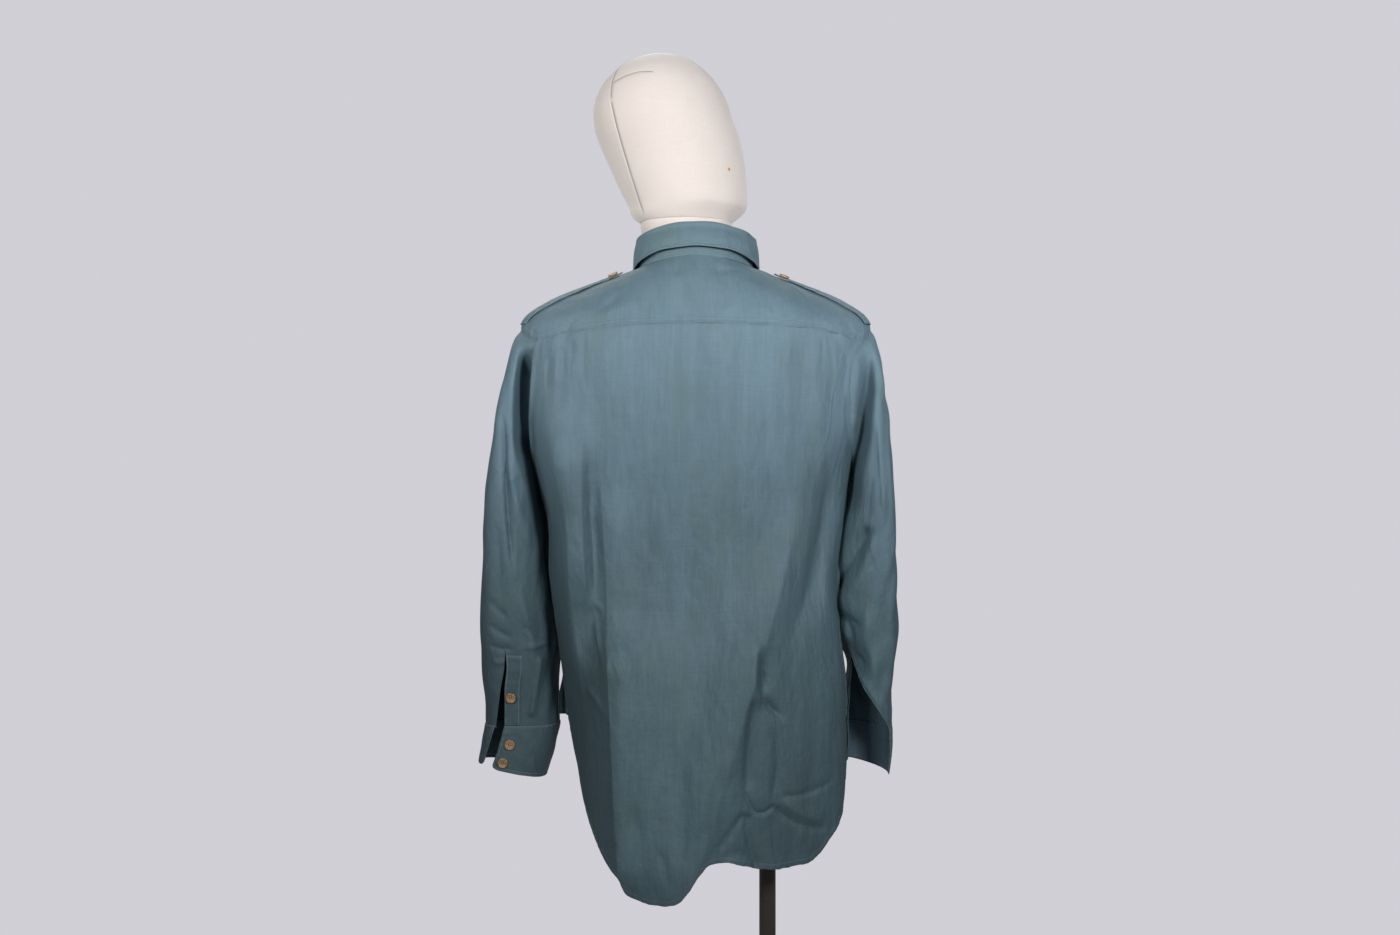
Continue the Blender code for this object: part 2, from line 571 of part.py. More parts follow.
# Front placket: a strip down the centre, made from the fronts' surface and moved out.
centre_rings = front_grid(1)[:, -1, 1]
centre_rings[0] = 0.05
strip = []
for ring in centre_rings:
    wide = angle_at_width(ring, PLACKET_HALF, 1)
    strip.append(body(np.array([180 - wide, 180.0, 180 + wide]), ring, ON_TOP + 0.0004 + CLOTH))
sheet("front_placket", strip, cloth_material("placket"), core=(0, 0, 1.2))

# ------------------------------------------------------------------ collar
around = np.concatenate([[-178.5, -170], yoke_angles()[::2], [170, 178.5]])
around = np.unique(np.round(np.concatenate([around, [-155, -140, -128, 128, 140, 155]]), 3))


def neck_edge(angle):
    return ring_surface(angle, 0.0)


def stand_point(angle, up):
    """Up the stand: up is 0 at the neck seam and 1 at its top edge, which leans to the neck."""
    p = neck_edge(angle)
    c = np.cos(np.radians(angle))
    height = STAND_H * (1.0 - 0.10 * (1 - c) / 2)
    p[..., 2] += 0.0008 + 0.0012 * (c < 0) * c**2 + up * (height + 0.002 * (c > 0) * c)
    p[..., 1] -= up * np.where(c > 0, 0.007, -0.005) * np.abs(c)
    p[..., 0] *= 1.0 + 0.01 * up
    return p


stand = [stand_point(around, up) for up in (0.0, 0.5, 1.0)]
sheet("collar_stand", stand, cloth_material("collar_stand"), core=(0, 0, 1.5))

fall_table = np.array(FALL)


def fall_point(angle, down):
    """The fall: rolls over the stand's top edge (down 0) and lies out over it to its edge (1)."""
    end = FALL[-1][0]
    low_angle = angle * (end / 172.0)
    out = np.interp(np.abs(low_angle), fall_table[:, 0], fall_table[:, 1])
    low_z = np.interp(np.abs(low_angle), fall_table[:, 0], fall_table[:, 2])
    top = stand_point(angle, 1.0)
    direct = np.stack([np.sin(np.radians(angle)), np.cos(np.radians(angle)), 0 * angle], -1)
    low = neck_edge(low_angle)
    low_direct = np.stack([np.sin(np.radians(low_angle)), np.cos(np.radians(low_angle)),
                           0 * angle], -1)
    low = low + low_direct * out[..., None]
    low[..., 2] = low_z
    roll = {0.0: (-0.0002, 0.0024), 0.1: (0.0026, 0.0016), 0.2: (0.0040, -0.0040)}
    if down in roll:
        out_by, up_by = roll[down]
        p = top + direct * out_by
        p[..., 2] += up_by
        return p
    start = top + direct * 0.0040
    start[..., 2] -= 0.0040
    f = (down - 0.2) / 0.8
    p = start + (low - start) * f
    return p + low_direct * (0.0020 * np.sin(pi * f))


fall_angles = np.unique(np.round(np.clip(around, -172, 172), 3))
fall = [fall_point(fall_angles, d) for d in (0.0, 0.1, 0.2, 0.6, 1.0)]
sheet("collar_fall", fall, cloth_material("collar_fall"), core=(0, 0, 1.5))

# ------------------------------------------------------------------ sleeves, plackets and cuffs
SLEEVES = {
    "left": (1, LEFT_SLEEVE, LEFT_CUFF, 10),
    "right": (-1, RIGHT_SLEEVE, RIGHT_CUFF, 10),
}
for word, (side, table, cuff, closed) in SLEEVES.items():
    sheet("sleeve_" + word, sleeve_grid(table, side), cloth_material("sleeve_" + word),
          closed_rows=closed + 1)
    sheet("cuff_" + word, sleeve_grid(cuff, side, armhole=False, columns=16),
          cloth_material("cuff_" + word))
    # Placket strip along the slit's button edge, on the sleeve's face.
    strip = []
    for v in np.linspace(9.3, 12.95, 7):
        edge_a, edge_b = smooth_rows(table, v)[7:9]
        edge, turn = (edge_a, -1) if side > 0 else (edge_b, -1)
        strip.append(section_point(table, side, v, edge + turn * np.array([1.0, 12.0, 24.0]),
                                   ON_TOP + CLOTH + 0.0006))
    sheet("sleeve_placket_" + word, strip, cloth_material("sleeve_placket_" + word),
          core=(side * 0.245, -0.018, 0.92))

# ------------------------------------------------------------------ shoulder straps
STRAP_ENDS = {"left": (1, 0.42), "right": (-1, 0.50)}
STRAP_T = 0.0016


def strap_point(side, ring, across, lift):
    """On the shoulder, across metres behind the ridge, lifted off the yoke."""
    row = smooth_rows(RINGS, ring)
    y = across + 0.004
    reach = (row[2] if y > 0 else -row[4]) + (-row[3] if y > 0 else row[3])
    angle = 90.0 - np.sign(y) * degrees(asin((abs(y) / reach) ** (1 / row[8])))
    return body(np.array(side * angle), np.array(ring), np.array(lift))


for word, (side, tip) in STRAP_ENDS.items():
    rows = []
    for ring in (2.96, 2.6, 2.0, 1.3, 0.8, tip):
        width = STRAP_HALF * (1.0 if ring > 1 else 0.88) * (0.25 if ring == tip else 1.0)
        raise_by = ON_TOP + 0.0009 + STRAP_T + 0.006 * max(0.0, (1.2 - ring) / 0.8)
        rows.append([strap_point(side, ring, a * width, raise_by) for a in (-1, -0.4, 0.4, 1)])
    sheet("shoulder_strap_" + word, rows, material("strap_" + word, (0.11, 0.16, 0.18), 0.75),
          thick=STRAP_T, core=(side * 0.15, 0.0, 1.30))

# ------------------------------------------------------------------ buttons
BUTTON = ((0.0, BUTTON_T * 0.62), (BUTTON_R * 0.62, BUTTON_T * 0.62), (BUTTON_R * 0.74, BUTTON_T),
          (BUTTON_R * 0.92, BUTTON_T), (BUTTON_R, BUTTON_T * 0.62), (BUTTON_R * 0.93, BUTTON_T * 0.1),
          (BUTTON_R * 0.8, 0.0), (0.0, 0.0))


def button(name, face_point, normal):
    normal = np.asarray(normal) / np.linalg.norm(normal)
    turned(name, BUTTON, material(name, (0.20, 0.13, 0.07), 0.35),
           np.asarray(face_point) + normal * ON_TOP, normal)


def surface_normal(point_at, u, v, step_u, step_v, away_from):
    p = point_at(u, v)
    n = np.cross(point_at(u + step_u, v) - p, point_at(u, v + step_v) - p)
    return p, n if np.dot(n, p - np.asarray(away_from)) > 0 else -n


placket_lift = ON_TOP + 0.0004 + CLOTH
for k, z in enumerate((1.395, 1.305, 1.215, 1.125, 1.035, 0.945)):
    heights = [body(np.array(180.0), np.array(t))[2] for t in np.linspace(0, 11.5, 400)]
    ring = float(np.interp(-z, -np.array(heights), np.linspace(0, 11.5, 400)))
    point, normal = surface_normal(
        lambda a, t: body(np.array(a), np.array(t), np.array(placket_lift)), 180.0, ring, 0.5,
        0.02, (0, 0, z))
    button(f"front_button_{k + 1}", point, normal)
point, normal = surface_normal(lambda a, u: stand_point(np.array(a), u), 173.5, 0.5, 1.0, 0.05,
                               (0, 0, 1.46))
button("collar_button", point, normal)

CUFF_BUTTONS = {
    # which, (table row, degrees in from the edge)
    "left": (("sleeve", 11.4, 11.0), ("cuff", 0.75, 17.0), ("cuff", 1.5, 16.0)),
    "right": (("sleeve", 11.4, 13.0), ("cuff", 0.6, 24.0), ("cuff", 1.35, 24.0)),
}
for word, (side, table, cuff, _) in SLEEVES.items():
    for k, (where, v, inwards) in enumerate(CUFF_BUTTONS[word]):
        rows = table if where == "sleeve" else cuff
        lift = ON_TOP + CLOTH + 0.0006 if where == "sleeve" else 0.0
        edge_a, edge_b = smooth_rows(rows, v)[7:9]
        alpha = (edge_a if side > 0 else edge_b) - inwards
        row = smooth_rows(rows, v)
        middle = (side * (row[0] + row[2]) / 2, row[4], (row[1] + row[3]) / 2)
        point, normal = surface_normal(
            lambda a, t: section_point(rows, side, t, a, lift), alpha, v, 1.0, 0.02, middle)
        button(f"cuff_button_{word}_{k + 1}", point, normal)

for word, (side, tip) in STRAP_ENDS.items():
    ring = tip + 0.34
    lift = ON_TOP + 0.0009 + STRAP_T + 0.006 * max(0.0, (1.2 - ring) / 0.8)
    point, normal = surface_normal(
        lambda a, t: strap_point(side, t, a, lift + 0.0003), 0.002, ring, 0.002, 0.02, (side * 0.1, 0, 1.3))
    button("strap_button_" + word, point, normal)

# ------------------------------------------------------------------ dress form
linen = material("linen", (0.62, 0.53, 0.44), 0.85)
yoke_columns = yoke_angles()
front_columns = np.linspace(yoke_columns[-1], 360 + yoke_columns[0], 13)[1:-1]
columns = np.concatenate([yoke_columns, front_columns])
under = CLOTH + ON_TOP
rings = []
for z_back, z_front, cx, cy, wide, deep in reversed(NECK):
    a = np.radians(columns)
    z = (z_back + z_front) / 2 + (z_back - z_front) / 2 * np.cos(a)
    rings.append(np.stack([cx + wide * np.sin(a), cy + deep * np.cos(a), z], -1))
over_front = np.clip(-np.cos(np.radians(columns)) * 2.2 - 0.9, 0, 1) * 0.009
for ring, ease in ((0.12, 0.0012), (0.6, 0.0), (1.3, 0.0), (2.0, 0.0), (2.6, 0.0015)):
    signed = np.where(columns > 180, columns - 360, columns)
    rings.append(yoke_row(signed, ring, -(under + ease + over_front)))
for ring, sides, at_back, at_front in TORSO:
    rings.append(ring_surface(columns, ring, (sides, at_back, at_front)))
foot = ring_surface(columns, 12.0, (0.045, 0.047, 0.032))
foot[:, 2] -= 0.006
rings.append(foot)
closed_loft("form_torso", rings, linen)

rings = []
a = np.radians(np.arange(0, 360, 11.25))
for z, cx, cy, wide, deep in HEAD:
    rings.append(np.stack([cx + wide * np.sin(a), cy + deep * np.cos(a), 0 * a + z], -1))
closed_loft("form_head", rings, material("head_linen", (0.66, 0.56, 0.47), 0.85))

top = float(foot[0, 2]) - 0.0006
turned("form_pole", ((0.0, top), (0.030, top), (0.030, top - 0.005), (0.018, top - 0.007),
                     (0.016, top - 0.030), (POLE_R, top - 0.034), (POLE_R, BASE_T + 0.030),
                     (0.017, BASE_T + 0.026), (0.019, BASE_T + 0.008), (0.034, BASE_T + 0.006),
                     (0.036, BASE_T + 0.0006), (0.0, BASE_T + 0.0006)),
       material("pole", (0.05, 0.045, 0.042), 0.4, 1.0), (POLE_X, 0.0, 0.0), (0, 0, 1), 24)
turned("form_base", ((0.0, BASE_T), (BASE_R - 0.006, BASE_T), (BASE_R - 0.002, BASE_T - 0.002),
                     (BASE_R, BASE_T - 0.006), (BASE_R, 0.001), (BASE_R - 0.001, 0.0), (0.0, 0.0)),
       material("base", (0.05, 0.045, 0.042), 0.45, 1.0), (0, 0, 0), (0, 0, 1), 48)
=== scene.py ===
"""A long-tailed military shirt, cuffs open, on a limbless dress form with a linen head and a pole.

Metres. +Z up, origin under the centre of the base plate. The shirt's front faces -Y and its
wearer's left is +X. The cloth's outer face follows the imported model's solids.
"""

import bpy
import numpy as np
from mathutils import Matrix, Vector


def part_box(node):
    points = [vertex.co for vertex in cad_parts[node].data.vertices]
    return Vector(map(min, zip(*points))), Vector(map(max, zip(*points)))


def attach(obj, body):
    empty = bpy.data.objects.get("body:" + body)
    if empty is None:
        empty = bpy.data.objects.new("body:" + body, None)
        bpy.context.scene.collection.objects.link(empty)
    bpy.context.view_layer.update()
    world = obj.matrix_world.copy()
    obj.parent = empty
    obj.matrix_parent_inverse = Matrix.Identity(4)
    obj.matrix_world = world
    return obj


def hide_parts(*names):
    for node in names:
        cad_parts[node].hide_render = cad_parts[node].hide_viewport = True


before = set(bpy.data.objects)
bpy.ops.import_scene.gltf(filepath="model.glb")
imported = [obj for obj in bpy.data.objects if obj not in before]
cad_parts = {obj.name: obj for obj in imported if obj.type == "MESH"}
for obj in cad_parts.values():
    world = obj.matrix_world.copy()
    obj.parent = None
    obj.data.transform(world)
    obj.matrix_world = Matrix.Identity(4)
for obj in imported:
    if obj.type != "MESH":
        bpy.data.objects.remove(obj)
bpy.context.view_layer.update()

# ------------------------------------------------------------------ camera, light and floor
# The shirt is seen level from behind. Two broad soft lights stand beside the camera, a narrow pair
# reaches the shoulders from the sides and a weak pair lights the front; the floor is pale.
VIEW = bpy.context.scene
VIEW.view_settings.view_transform = "Standard"
camera = bpy.data.objects.new("camera", bpy.data.cameras.new("camera"))
camera.data.lens = 42.3
camera.location = (-0.0042, 2.300, 1.235)
camera.rotation_euler = (np.pi / 2, 0.0, np.pi)
VIEW.collection.objects.link(camera)
VIEW.camera = camera

LIGHTS = (
    # name        place                  aims at         side  power spread colour
    ("key_left", (0.86, 1.76, 1.72), (0.02, 0.0, 1.62), 0.42, 5.9, 92, (1.00, 0.99, 0.975)),
    ("key_right", (-0.94, 1.78, 1.82), (-0.06, 0.0, 1.62), 0.42, 8.2, 90, (0.98, 0.99, 1.00)),
    ("side_left", (1.90, 1.00, 1.95), (0.20, 0.0, 1.56), 0.30, 0.42, 22, (1.00, 0.99, 0.975)),
    ("side_right", (-1.90, 1.00, 1.95), (-0.22, 0.0, 1.52), 0.30, 0.28, 22, (0.98, 0.99, 1.00)),
    ("front_left", (0.90, -1.80, 3.10), (0.00, 0.0, 1.15), 0.90, 13.0, 180, (1.00, 0.985, 0.97)),
    ("front_right", (-1.00, -1.80, 3.10), (0.00, 0.0, 1.15), 0.90, 10.0, 180, (0.97, 0.985, 1.0)),
)
for name, place, aim, side, power, spread_angle, colour in LIGHTS:
    lamp = bpy.data.lights.new(name, "AREA")
    lamp.size = side
    lamp.spread = np.radians(spread_angle)
    lamp.energy = power
    lamp.color = colour
    light = bpy.data.objects.new(name, lamp)
    light.location = place
    light.rotation_euler = (Vector(aim) - Vector(place)).to_track_quat("-Z", "Y").to_euler()
    VIEW.collection.objects.link(light)

SEEN_AIR, LIT_AIR = (0.630, 0.626, 0.670), (0.130, 0.130, 0.142)
sky = bpy.data.worlds.new("studio")
sky.use_nodes = True
seen = sky.node_tree.nodes.new("ShaderNodeLightPath").outputs["Is Camera Ray"]
mixed = sky.node_tree.nodes.new("ShaderNodeMix")
mixed.data_type = "RGBA"
mixed.inputs[6].default_value, mixed.inputs[7].default_value = (*LIT_AIR, 1.0), (*SEEN_AIR, 1.0)
sky.node_tree.links.new(seen, mixed.inputs[0])
sky.node_tree.links.new(mixed.outputs[2], sky.node_tree.nodes["Background"].inputs["Color"])
VIEW.world = sky


class Part:
    """A value in a material: sums, differences, products and quotients of it add Math nodes."""

    def __init__(self, finish, socket):
        self.finish, self.socket = finish, socket

    def maths(self, operation, *values):
        return self.finish.node("ShaderNodeMath", {"operation": operation}, dict(enumerate(values)))

    def __add__(self, other):
        return self.maths("ADD", self, other)

    def __sub__(self, other):
        return self.maths("SUBTRACT", self, other)

    def __rsub__(self, other):
        return self.maths("SUBTRACT", other, self)

    def __mul__(self, other):
        return self.maths("MULTIPLY", self, other)

    def __truediv__(self, other):
        return self.maths("DIVIDE", self, other)

    def __abs__(self):
        return self.maths("ABSOLUTE", self)

    def larger(self, other):
        return self.maths("MAXIMUM", self, other)

    def of(self, operation):
        """A function of the value alone, such as its sine."""
        return self.maths(operation, self)

    def part(self, axis):
        """The X, the Y or the Z of a vector."""
        return self.finish.node("ShaderNodeSeparateXYZ", (), {0: self}, axis)

    def between(self, low, high):
        """0 at low and 1 at high, eased; low may be the larger one."""
        steps = {"interpolation_type": "SMOOTHSTEP"}
        ends = (low, high, 0.0, 1.0) if low < high else (high, low, 1.0, 0.0)
        return self.finish.node("ShaderNodeMapRange", steps, {0: self, **dict(enumerate(ends, 1))})

    __radd__, __rmul__ = __add__, __mul__


class Finish:
    """A material being put together round its Principled shader."""

    def __init__(self, name, **constants):
        self.material = bpy.data.materials.new(name)
        self.material.use_nodes = True
        self.tree = self.material.node_tree
        self.shader = self.tree.nodes["Principled BSDF"]
        for socket, value in constants.items():
            self.shader.inputs[socket.replace("_", " ")].default_value = value

    def put(self, value, socket):
        if isinstance(value, Part):
            self.tree.links.new(value.socket, socket)
        else:
            socket.default_value = value

    def node(self, kind, settings=(), values=(), out=0):
        """Any node: its type, its settings, the values or links of its sockets, its output."""
        made = self.tree.nodes.new(kind)
        for key, value in dict(settings).items():
            setattr(made, key, value)
        for key, value in dict(values).items():
            self.put(value, made.inputs[key])
        return Part(self, made.outputs[out])

    def place(self):
        """Where a point is on the object, in metres."""
        return self.node("ShaderNodeTexCoord", out="Object")

    def flat(self, key):
        """The flat coordinates of that name."""
        return self.node("ShaderNodeUVMap", {"uv_map": key})

    def blend(self, share, first, second):
        """Colour from first to second as share goes from 0 to 1; a plain one is red, green, blue."""
        first, second = ((*c, 1.0) if isinstance(c, tuple) else c for c in (first, second))
        return self.node("ShaderNodeMix", {"data_type": "RGBA"}, {0: share, 6: first, 7: second}, 2)

    def noise(self, place, stretch, detail=2.0, rough=0.5):
        """Cloudy noise from 0 to 1, with stretch blobs a metre along each axis of place."""
        spread = self.node("ShaderNodeMapping", (), {"Vector": place, "Scale": stretch})
        return self.node("ShaderNodeTexNoise", (), {"Vector": spread, "Scale": 1.0,
                                                    "Detail": detail, "Roughness": rough}, "Fac")

    def done(self, colour, rough, height):
        """Joins the colour, the roughness and the height, in metres, to the shader."""
        self.put(colour, self.shader.inputs["Base Color"])
        self.put(rough, self.shader.inputs["Roughness"])
        bump = self.node("ShaderNodeBump", (), {"Height": height, "Distance": 1.0, "Strength": 1.0})
        self.put(bump, self.shader.inputs["Normal"])
        return self.material


def surface(name, grid, core, closed_rows=0, poles=(), maps=()):
    """A mesh over a grid of points (rows, columns, xyz), each four neighbours making a face.

    The first closed_rows rows join on themselves, a row in poles is one point, maps holds named
    flat coordinates (rows, columns, 2), and faces are turned away from core.
    """
    rows, cols = grid.shape[:2]
    place = np.arange(rows * cols).reshape(rows, cols)
    number = place.copy()
    number[:closed_rows, -1] = number[:closed_rows, 0]
    for row in poles:
        number[row] = number[row, 0]

    def corners(of):
        return np.stack([of[:-1, :-1], of[:-1, 1:], of[1:, 1:], of[1:, :-1]], -1).reshape(-1, 4)

    faces, places = corners(number), corners(place)
    down, across = np.diff(grid, axis=0)[:, :-1], np.diff(grid, axis=1)[:-1]
    if np.sum(np.cross(across, down) * (grid - core)[:-1, :-1]) < 0:
        faces, places = faces[:, ::-1], places[:, ::-1]
    keep = faces != np.roll(faces, 1, axis=1)
    used, loops = np.unique(faces[keep], return_inverse=True)
    sides = keep.sum(axis=1)
    mesh = bpy.data.meshes.new(name)
    mesh.vertices.add(len(used))
    mesh.vertices.foreach_set("co", grid.reshape(-1, 3)[used].ravel())
    mesh.loops.add(len(loops))
    mesh.loops.foreach_set("vertex_index", loops.ravel())
    mesh.polygons.add(len(sides))
    mesh.polygons.foreach_set("loop_start", np.cumsum(sides) - sides)
    mesh.polygons.foreach_set("use_smooth", np.ones(len(sides), bool))
    mesh.update(calc_edges=True)
    for key, flat in dict(maps).items():
        layer = mesh.uv_layers.new(name=key)
        layer.uv.foreach_set("vector", flat.reshape(-1, 2)[places[keep]].astype(np.float32).ravel())
    mesh.validate()
    piece = bpy.data.objects.new(name, mesh)
    VIEW.collection.objects.link(piece)
    return piece


FLOOR_HALF = 2.00
reach = np.linspace(-FLOOR_HALF, FLOOR_HALF, 3)
floor = surface("floor", np.stack([*np.meshgrid(reach, reach), np.zeros((3, 3))], -1), (0, 0, -1))
stone = Finish("floor_paint")
cloudy = stone.noise(stone.place(), (3.0, 3.0, 3.0))
floor.data.materials.append(stone.done(
    stone.blend(cloudy, (0.80, 0.795, 0.82), (0.84, 0.835, 0.86)), 0.8, cloudy * 0.0001))

# ------------------------------------------------------------------ base plate and pole
# A turned steel plate and a steel tube in its socket, painted dark brown. The tube's collar is
# screwed under the torso.
POLE_X, POLE_R = -0.0985, 0.0115
BASE_R, BASE_T = 0.190, 0.010
POLE_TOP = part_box("form_pole")[1].z


def turned(name, profile, centre, around):
    """Radius and height pairs carried round the upright axis through centre."""
    radius, height = np.array(profile).T[:, :, None]
    turn = np.linspace(0, 2 * np.pi, around + 1)
    grid = np.stack([radius * np.cos(turn), radius * np.sin(turn), height + 0 * turn], -1)
    grid = grid + np.asarray(centre)
    middle = np.array([*centre[:2], np.mean(height)])
    return surface(name, grid, middle, closed_rows=len(profile), poles=(0, -1))


def in_place_of(piece, node):
    """Puts a piece in the model in place of its plain solid."""
    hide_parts(node)
    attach(piece, "root")


def softened(corners, radius, steps=4):
    """The profile's corners rounded: each becomes an arc-like curve of that reach."""
    points = np.array(corners, float)
    out = [points[:1]]
    t = np.linspace(0, 1, steps + 1)[:, None]
    for before, at, after in zip(points[:-2], points[1:-1], points[2:]):
        short = min(radius, np.linalg.norm(at - before) / 2.2, np.linalg.norm(after - at) / 2.2)
        start = at + (before - at) / np.linalg.norm(before - at) * short
        end = at + (after - at) / np.linalg.norm(after - at) * short
        out.append((1 - t) ** 2 * start + 2 * t * (1 - t) * at + t**2 * end)
    return np.concatenate([*out, points[-1:]])


def dark_paint(name, brushed):
    """Brown-black paint on steel: fine grain along the tube, worn and dusty in places."""
    paint = Finish(name, Metallic=0.55, Specular_IOR_Level=0.4)
    place = paint.place()
    grain = paint.noise(place, brushed, 4.0, 0.6)
    blot = paint.noise(place, (9.0, 9.0, 5.0), 4.0, 0.6)
    specks = paint.noise(place, (700.0, 700.0, 500.0), 1.0)
    lighter_marks = (blot * 0.7 + grain * 0.45).between(0.60, 0.85)
    colour = paint.blend(lighter_marks, (0.072, 0.060, 0.052), (0.130, 0.112, 0.100))
    colour = paint.blend(specks.between(0.66, 0.76) * 0.5, colour, (0.16, 0.15, 0.14))
    return paint.done(colour, grain * 0.20 + blot * 0.14 + 0.24,
                      grain * 0.00008 + specks * 0.00003)


base = turned("stand_plate", softened(
    ((0.0, BASE_T), (BASE_R - 0.002, BASE_T), (BASE_R, BASE_T - 0.002), (BASE_R, 0.001),
     (BASE_R - 0.001, 0.0), (0.0, 0.0)), 0.0012), (0, 0, 0), 128)
base.data.materials.append(dark_paint("plate_paint", (60.0, 60.0, 60.0)))
in_place_of(base, "form_base")

pole = turned("stand_pole", softened(
    ((0.0, POLE_TOP), (0.030, POLE_TOP), (0.030, POLE_TOP - 0.005), (0.018, POLE_TOP - 0.007),
     (0.016, POLE_TOP - 0.030), (POLE_R, POLE_TOP - 0.034), (POLE_R, 0.50), (POLE_R, 0.30),
     (POLE_R, BASE_T + 0.030), (0.017, BASE_T + 0.026), (0.019, BASE_T + 0.008),
     (0.034, BASE_T + 0.006), (0.036, BASE_T + 0.0006), (0.0, BASE_T + 0.0006)), 0.0015),
    (POLE_X, 0, 0), 64)
pole.data.materials.append(dark_paint("pole_paint", (220.0, 220.0, 6.0)))
in_place_of(pole, "form_pole")

# ------------------------------------------------------------------ dress form: torso
# A papered torso covered in cream linen, stretched and glued. Its rings are the shirt's own,
# made smaller, so the shirt hangs clear of it below the shoulders.
RINGS = (
    # left   right  y_back y_side  y_front  z_back z_side z_front square
    (0.0800, 0.0780, 0.086, 0.010, -0.062, 1.5215, 1.510, 1.446, 1.00),   # 0 neck seam
    (0.1480, 0.1460, 0.103, 0.007, -0.088, 1.4900, 1.482, 1.405, 1.00),   # 1 half shoulder
    (0.2080, 0.2050, 0.112, 0.004, -0.103, 1.4580, 1.456, 1.372, 0.97),   # 2 outer shoulder
    (0.2440, 0.2400, 0.118, 0.002, -0.112, 1.4280, 1.428, 1.345, 0.93),   # 3 yoke seam
    (0.2420, 0.2360, 0.123, 0.000, -0.117, 1.3720, 1.372, 1.310, 0.90),   # 4 shoulder blade
    (0.2350, 0.2260, 0.123, -0.002, -0.120, 1.3050, 1.305, 1.275, 0.88),  # 5 armhole
    (0.2250, 0.2140, 0.119, -0.004, -0.120, 1.2370, 1.237, 1.237, 0.86),  # 6 underarm
    (0.2060, 0.2050, 0.108, -0.004, -0.115, 1.1650, 1.165, 1.165, 0.86),  # 7 ribs
    (0.2030, 0.1960, 0.098, -0.004, -0.108, 1.0900, 1.090, 1.090, 0.86),  # 8 waist
    (0.1930, 0.1960, 0.098, -0.004, -0.106, 1.0100, 1.010, 1.010, 0.86),  # 9 small of the back
    (0.1830, 0.2010, 0.106, -0.004, -0.106, 0.9400, 0.940, 0.940, 0.86),  # 10 hip
    (0.1780, 0.2015, 0.110, -0.004, -0.104, 0.8800, 0.880, 0.880, 0.86),  # 11 side vent
    (0.1740, 0.2090, 0.110, -0.004, -0.100, 0.7900, 0.790, 0.790, 0.86),  # 12 seat
    (0.1700, 0.2100, 0.106, -0.004, -0.100, 0.7100, 0.710, 0.710, 0.86),  # 13 tail
    (0.1680, 0.2040, 0.100, -0.004, -0.100, 0.6300, 0.630, 0.630, 0.86),  # 14 below the hem
)
CREST = 0.0065          # the shoulder line stands up this much along the straps
TORSO = (
    # ring, ease at the sides, back and front
    (3.0, 0.0080, 0.0100, 0.0090), (4.0, 0.0160, 0.0200, 0.0140), (5.0, 0.0180, 0.0260, 0.0160),
    (6.0, 0.0200, 0.0280, 0.0170), (7.0, 0.0240, 0.0300, 0.0200), (8.0, 0.0300, 0.0300, 0.0240),
    (9.0, 0.0300, 0.0300, 0.0220), (10.0, 0.0260, 0.0300, 0.0200), (11.0, 0.0240, 0.0310, 0.0200),
    (12.0, 0.0330, 0.0360, 0.0200), (12.0, 0.0450, 0.0470, 0.0320), (12.0, 0.1500, 0.1000, 0.0900),
)
NECK = (
    # z back, z front, x centre, y centre, half-width, half-depth
    (1.5750, 1.5750, 0.0148, 0.0088, 0.0000, 0.0000),
    (1.5750, 1.5750, 0.0148, 0.0088, 0.0630, 0.0585),
    (1.5700, 1.5640, 0.0145, 0.0090, 0.0635, 0.0590),
    (1.5560, 1.5350, 0.0110, 0.0100, 0.0645, 0.0600),
    (1.5380, 1.4950, 0.0050, 0.0110, 0.0680, 0.0640),
    (1.5260, 1.4620, 0.0015, 0.0110, 0.0730, 0.0690),
)
# ring and ease under the yoke
UNDER_YOKE = ((0.12, 0.0050), (0.6, 0.0050), (1.3, 0.0050), (2.0, 0.0055), (2.6, 0.0065))


def smooth_rows(table, at):
    """Rows of a table at fractional row numbers, along a smooth curve through every row."""
    rows = np.asarray(table, float)
    at = np.clip(np.asarray(at, float), 0, len(rows) - 1)
    i = np.minimum(at.astype(int), len(rows) - 2)
    f = (at - i).reshape(at.shape + (1,) * (rows.ndim - 1))
    p0, p3 = rows[np.maximum(i - 1, 0)], rows[np.minimum(i + 2, len(rows) - 1)]
    p1, p2 = rows[i], rows[i + 1]
    m1, m2 = (p2 - p0) / 2, (p3 - p1) / 2
    return ((2 * f**3 - 3 * f**2 + 1) * p1 + (f**3 - 2 * f**2 + f) * m1
            + (3 * f**2 - 2 * f**3) * p2 + (f**3 - f**2) * m2)


def ring_surface(angle, ring, shrink=(0.0, 0.0, 0.0)):
    """Point of the body: angle in degrees from the centre back, ring number down from the neck.

    x = half-width sin^square, y = side + (depth - side) cos^square; the height passes from the
    side to the back or front with cos squared. shrink takes (sides, back, front) off the sizes.
    """
    angle, ring = np.broadcast_arrays(np.asarray(angle, float), np.asarray(ring, float))
    row = smooth_rows(RINGS, ring)
    left, right, y_back, y_side, y_front, z_back, z_side, z_front, square = np.moveaxis(row, -1, 0)
    s, c = np.sin(np.radians(angle)), np.cos(np.radians(angle))
    half = np.where(s >= 0, left, right) - shrink[0]
    x = half * np.sign(s) * np.abs(s) ** square
    depth = np.where(c >= 0, y_back - shrink[1], y_front + shrink[2])
    y = y_side + (depth - y_side) * np.abs(c) ** square
    z = z_side + (np.where(c >= 0, z_back, z_front) - z_side) * c**2
    off_side = (90.0 - np.degrees(np.arccos(np.clip(np.abs(c), 0, 1)))) / 22.0
    z = z + CREST * np.sin(np.pi * np.clip(ring / 3.6, 0, 1)) * np.exp(-off_side**2)
    return np.stack([x, y, z], -1)


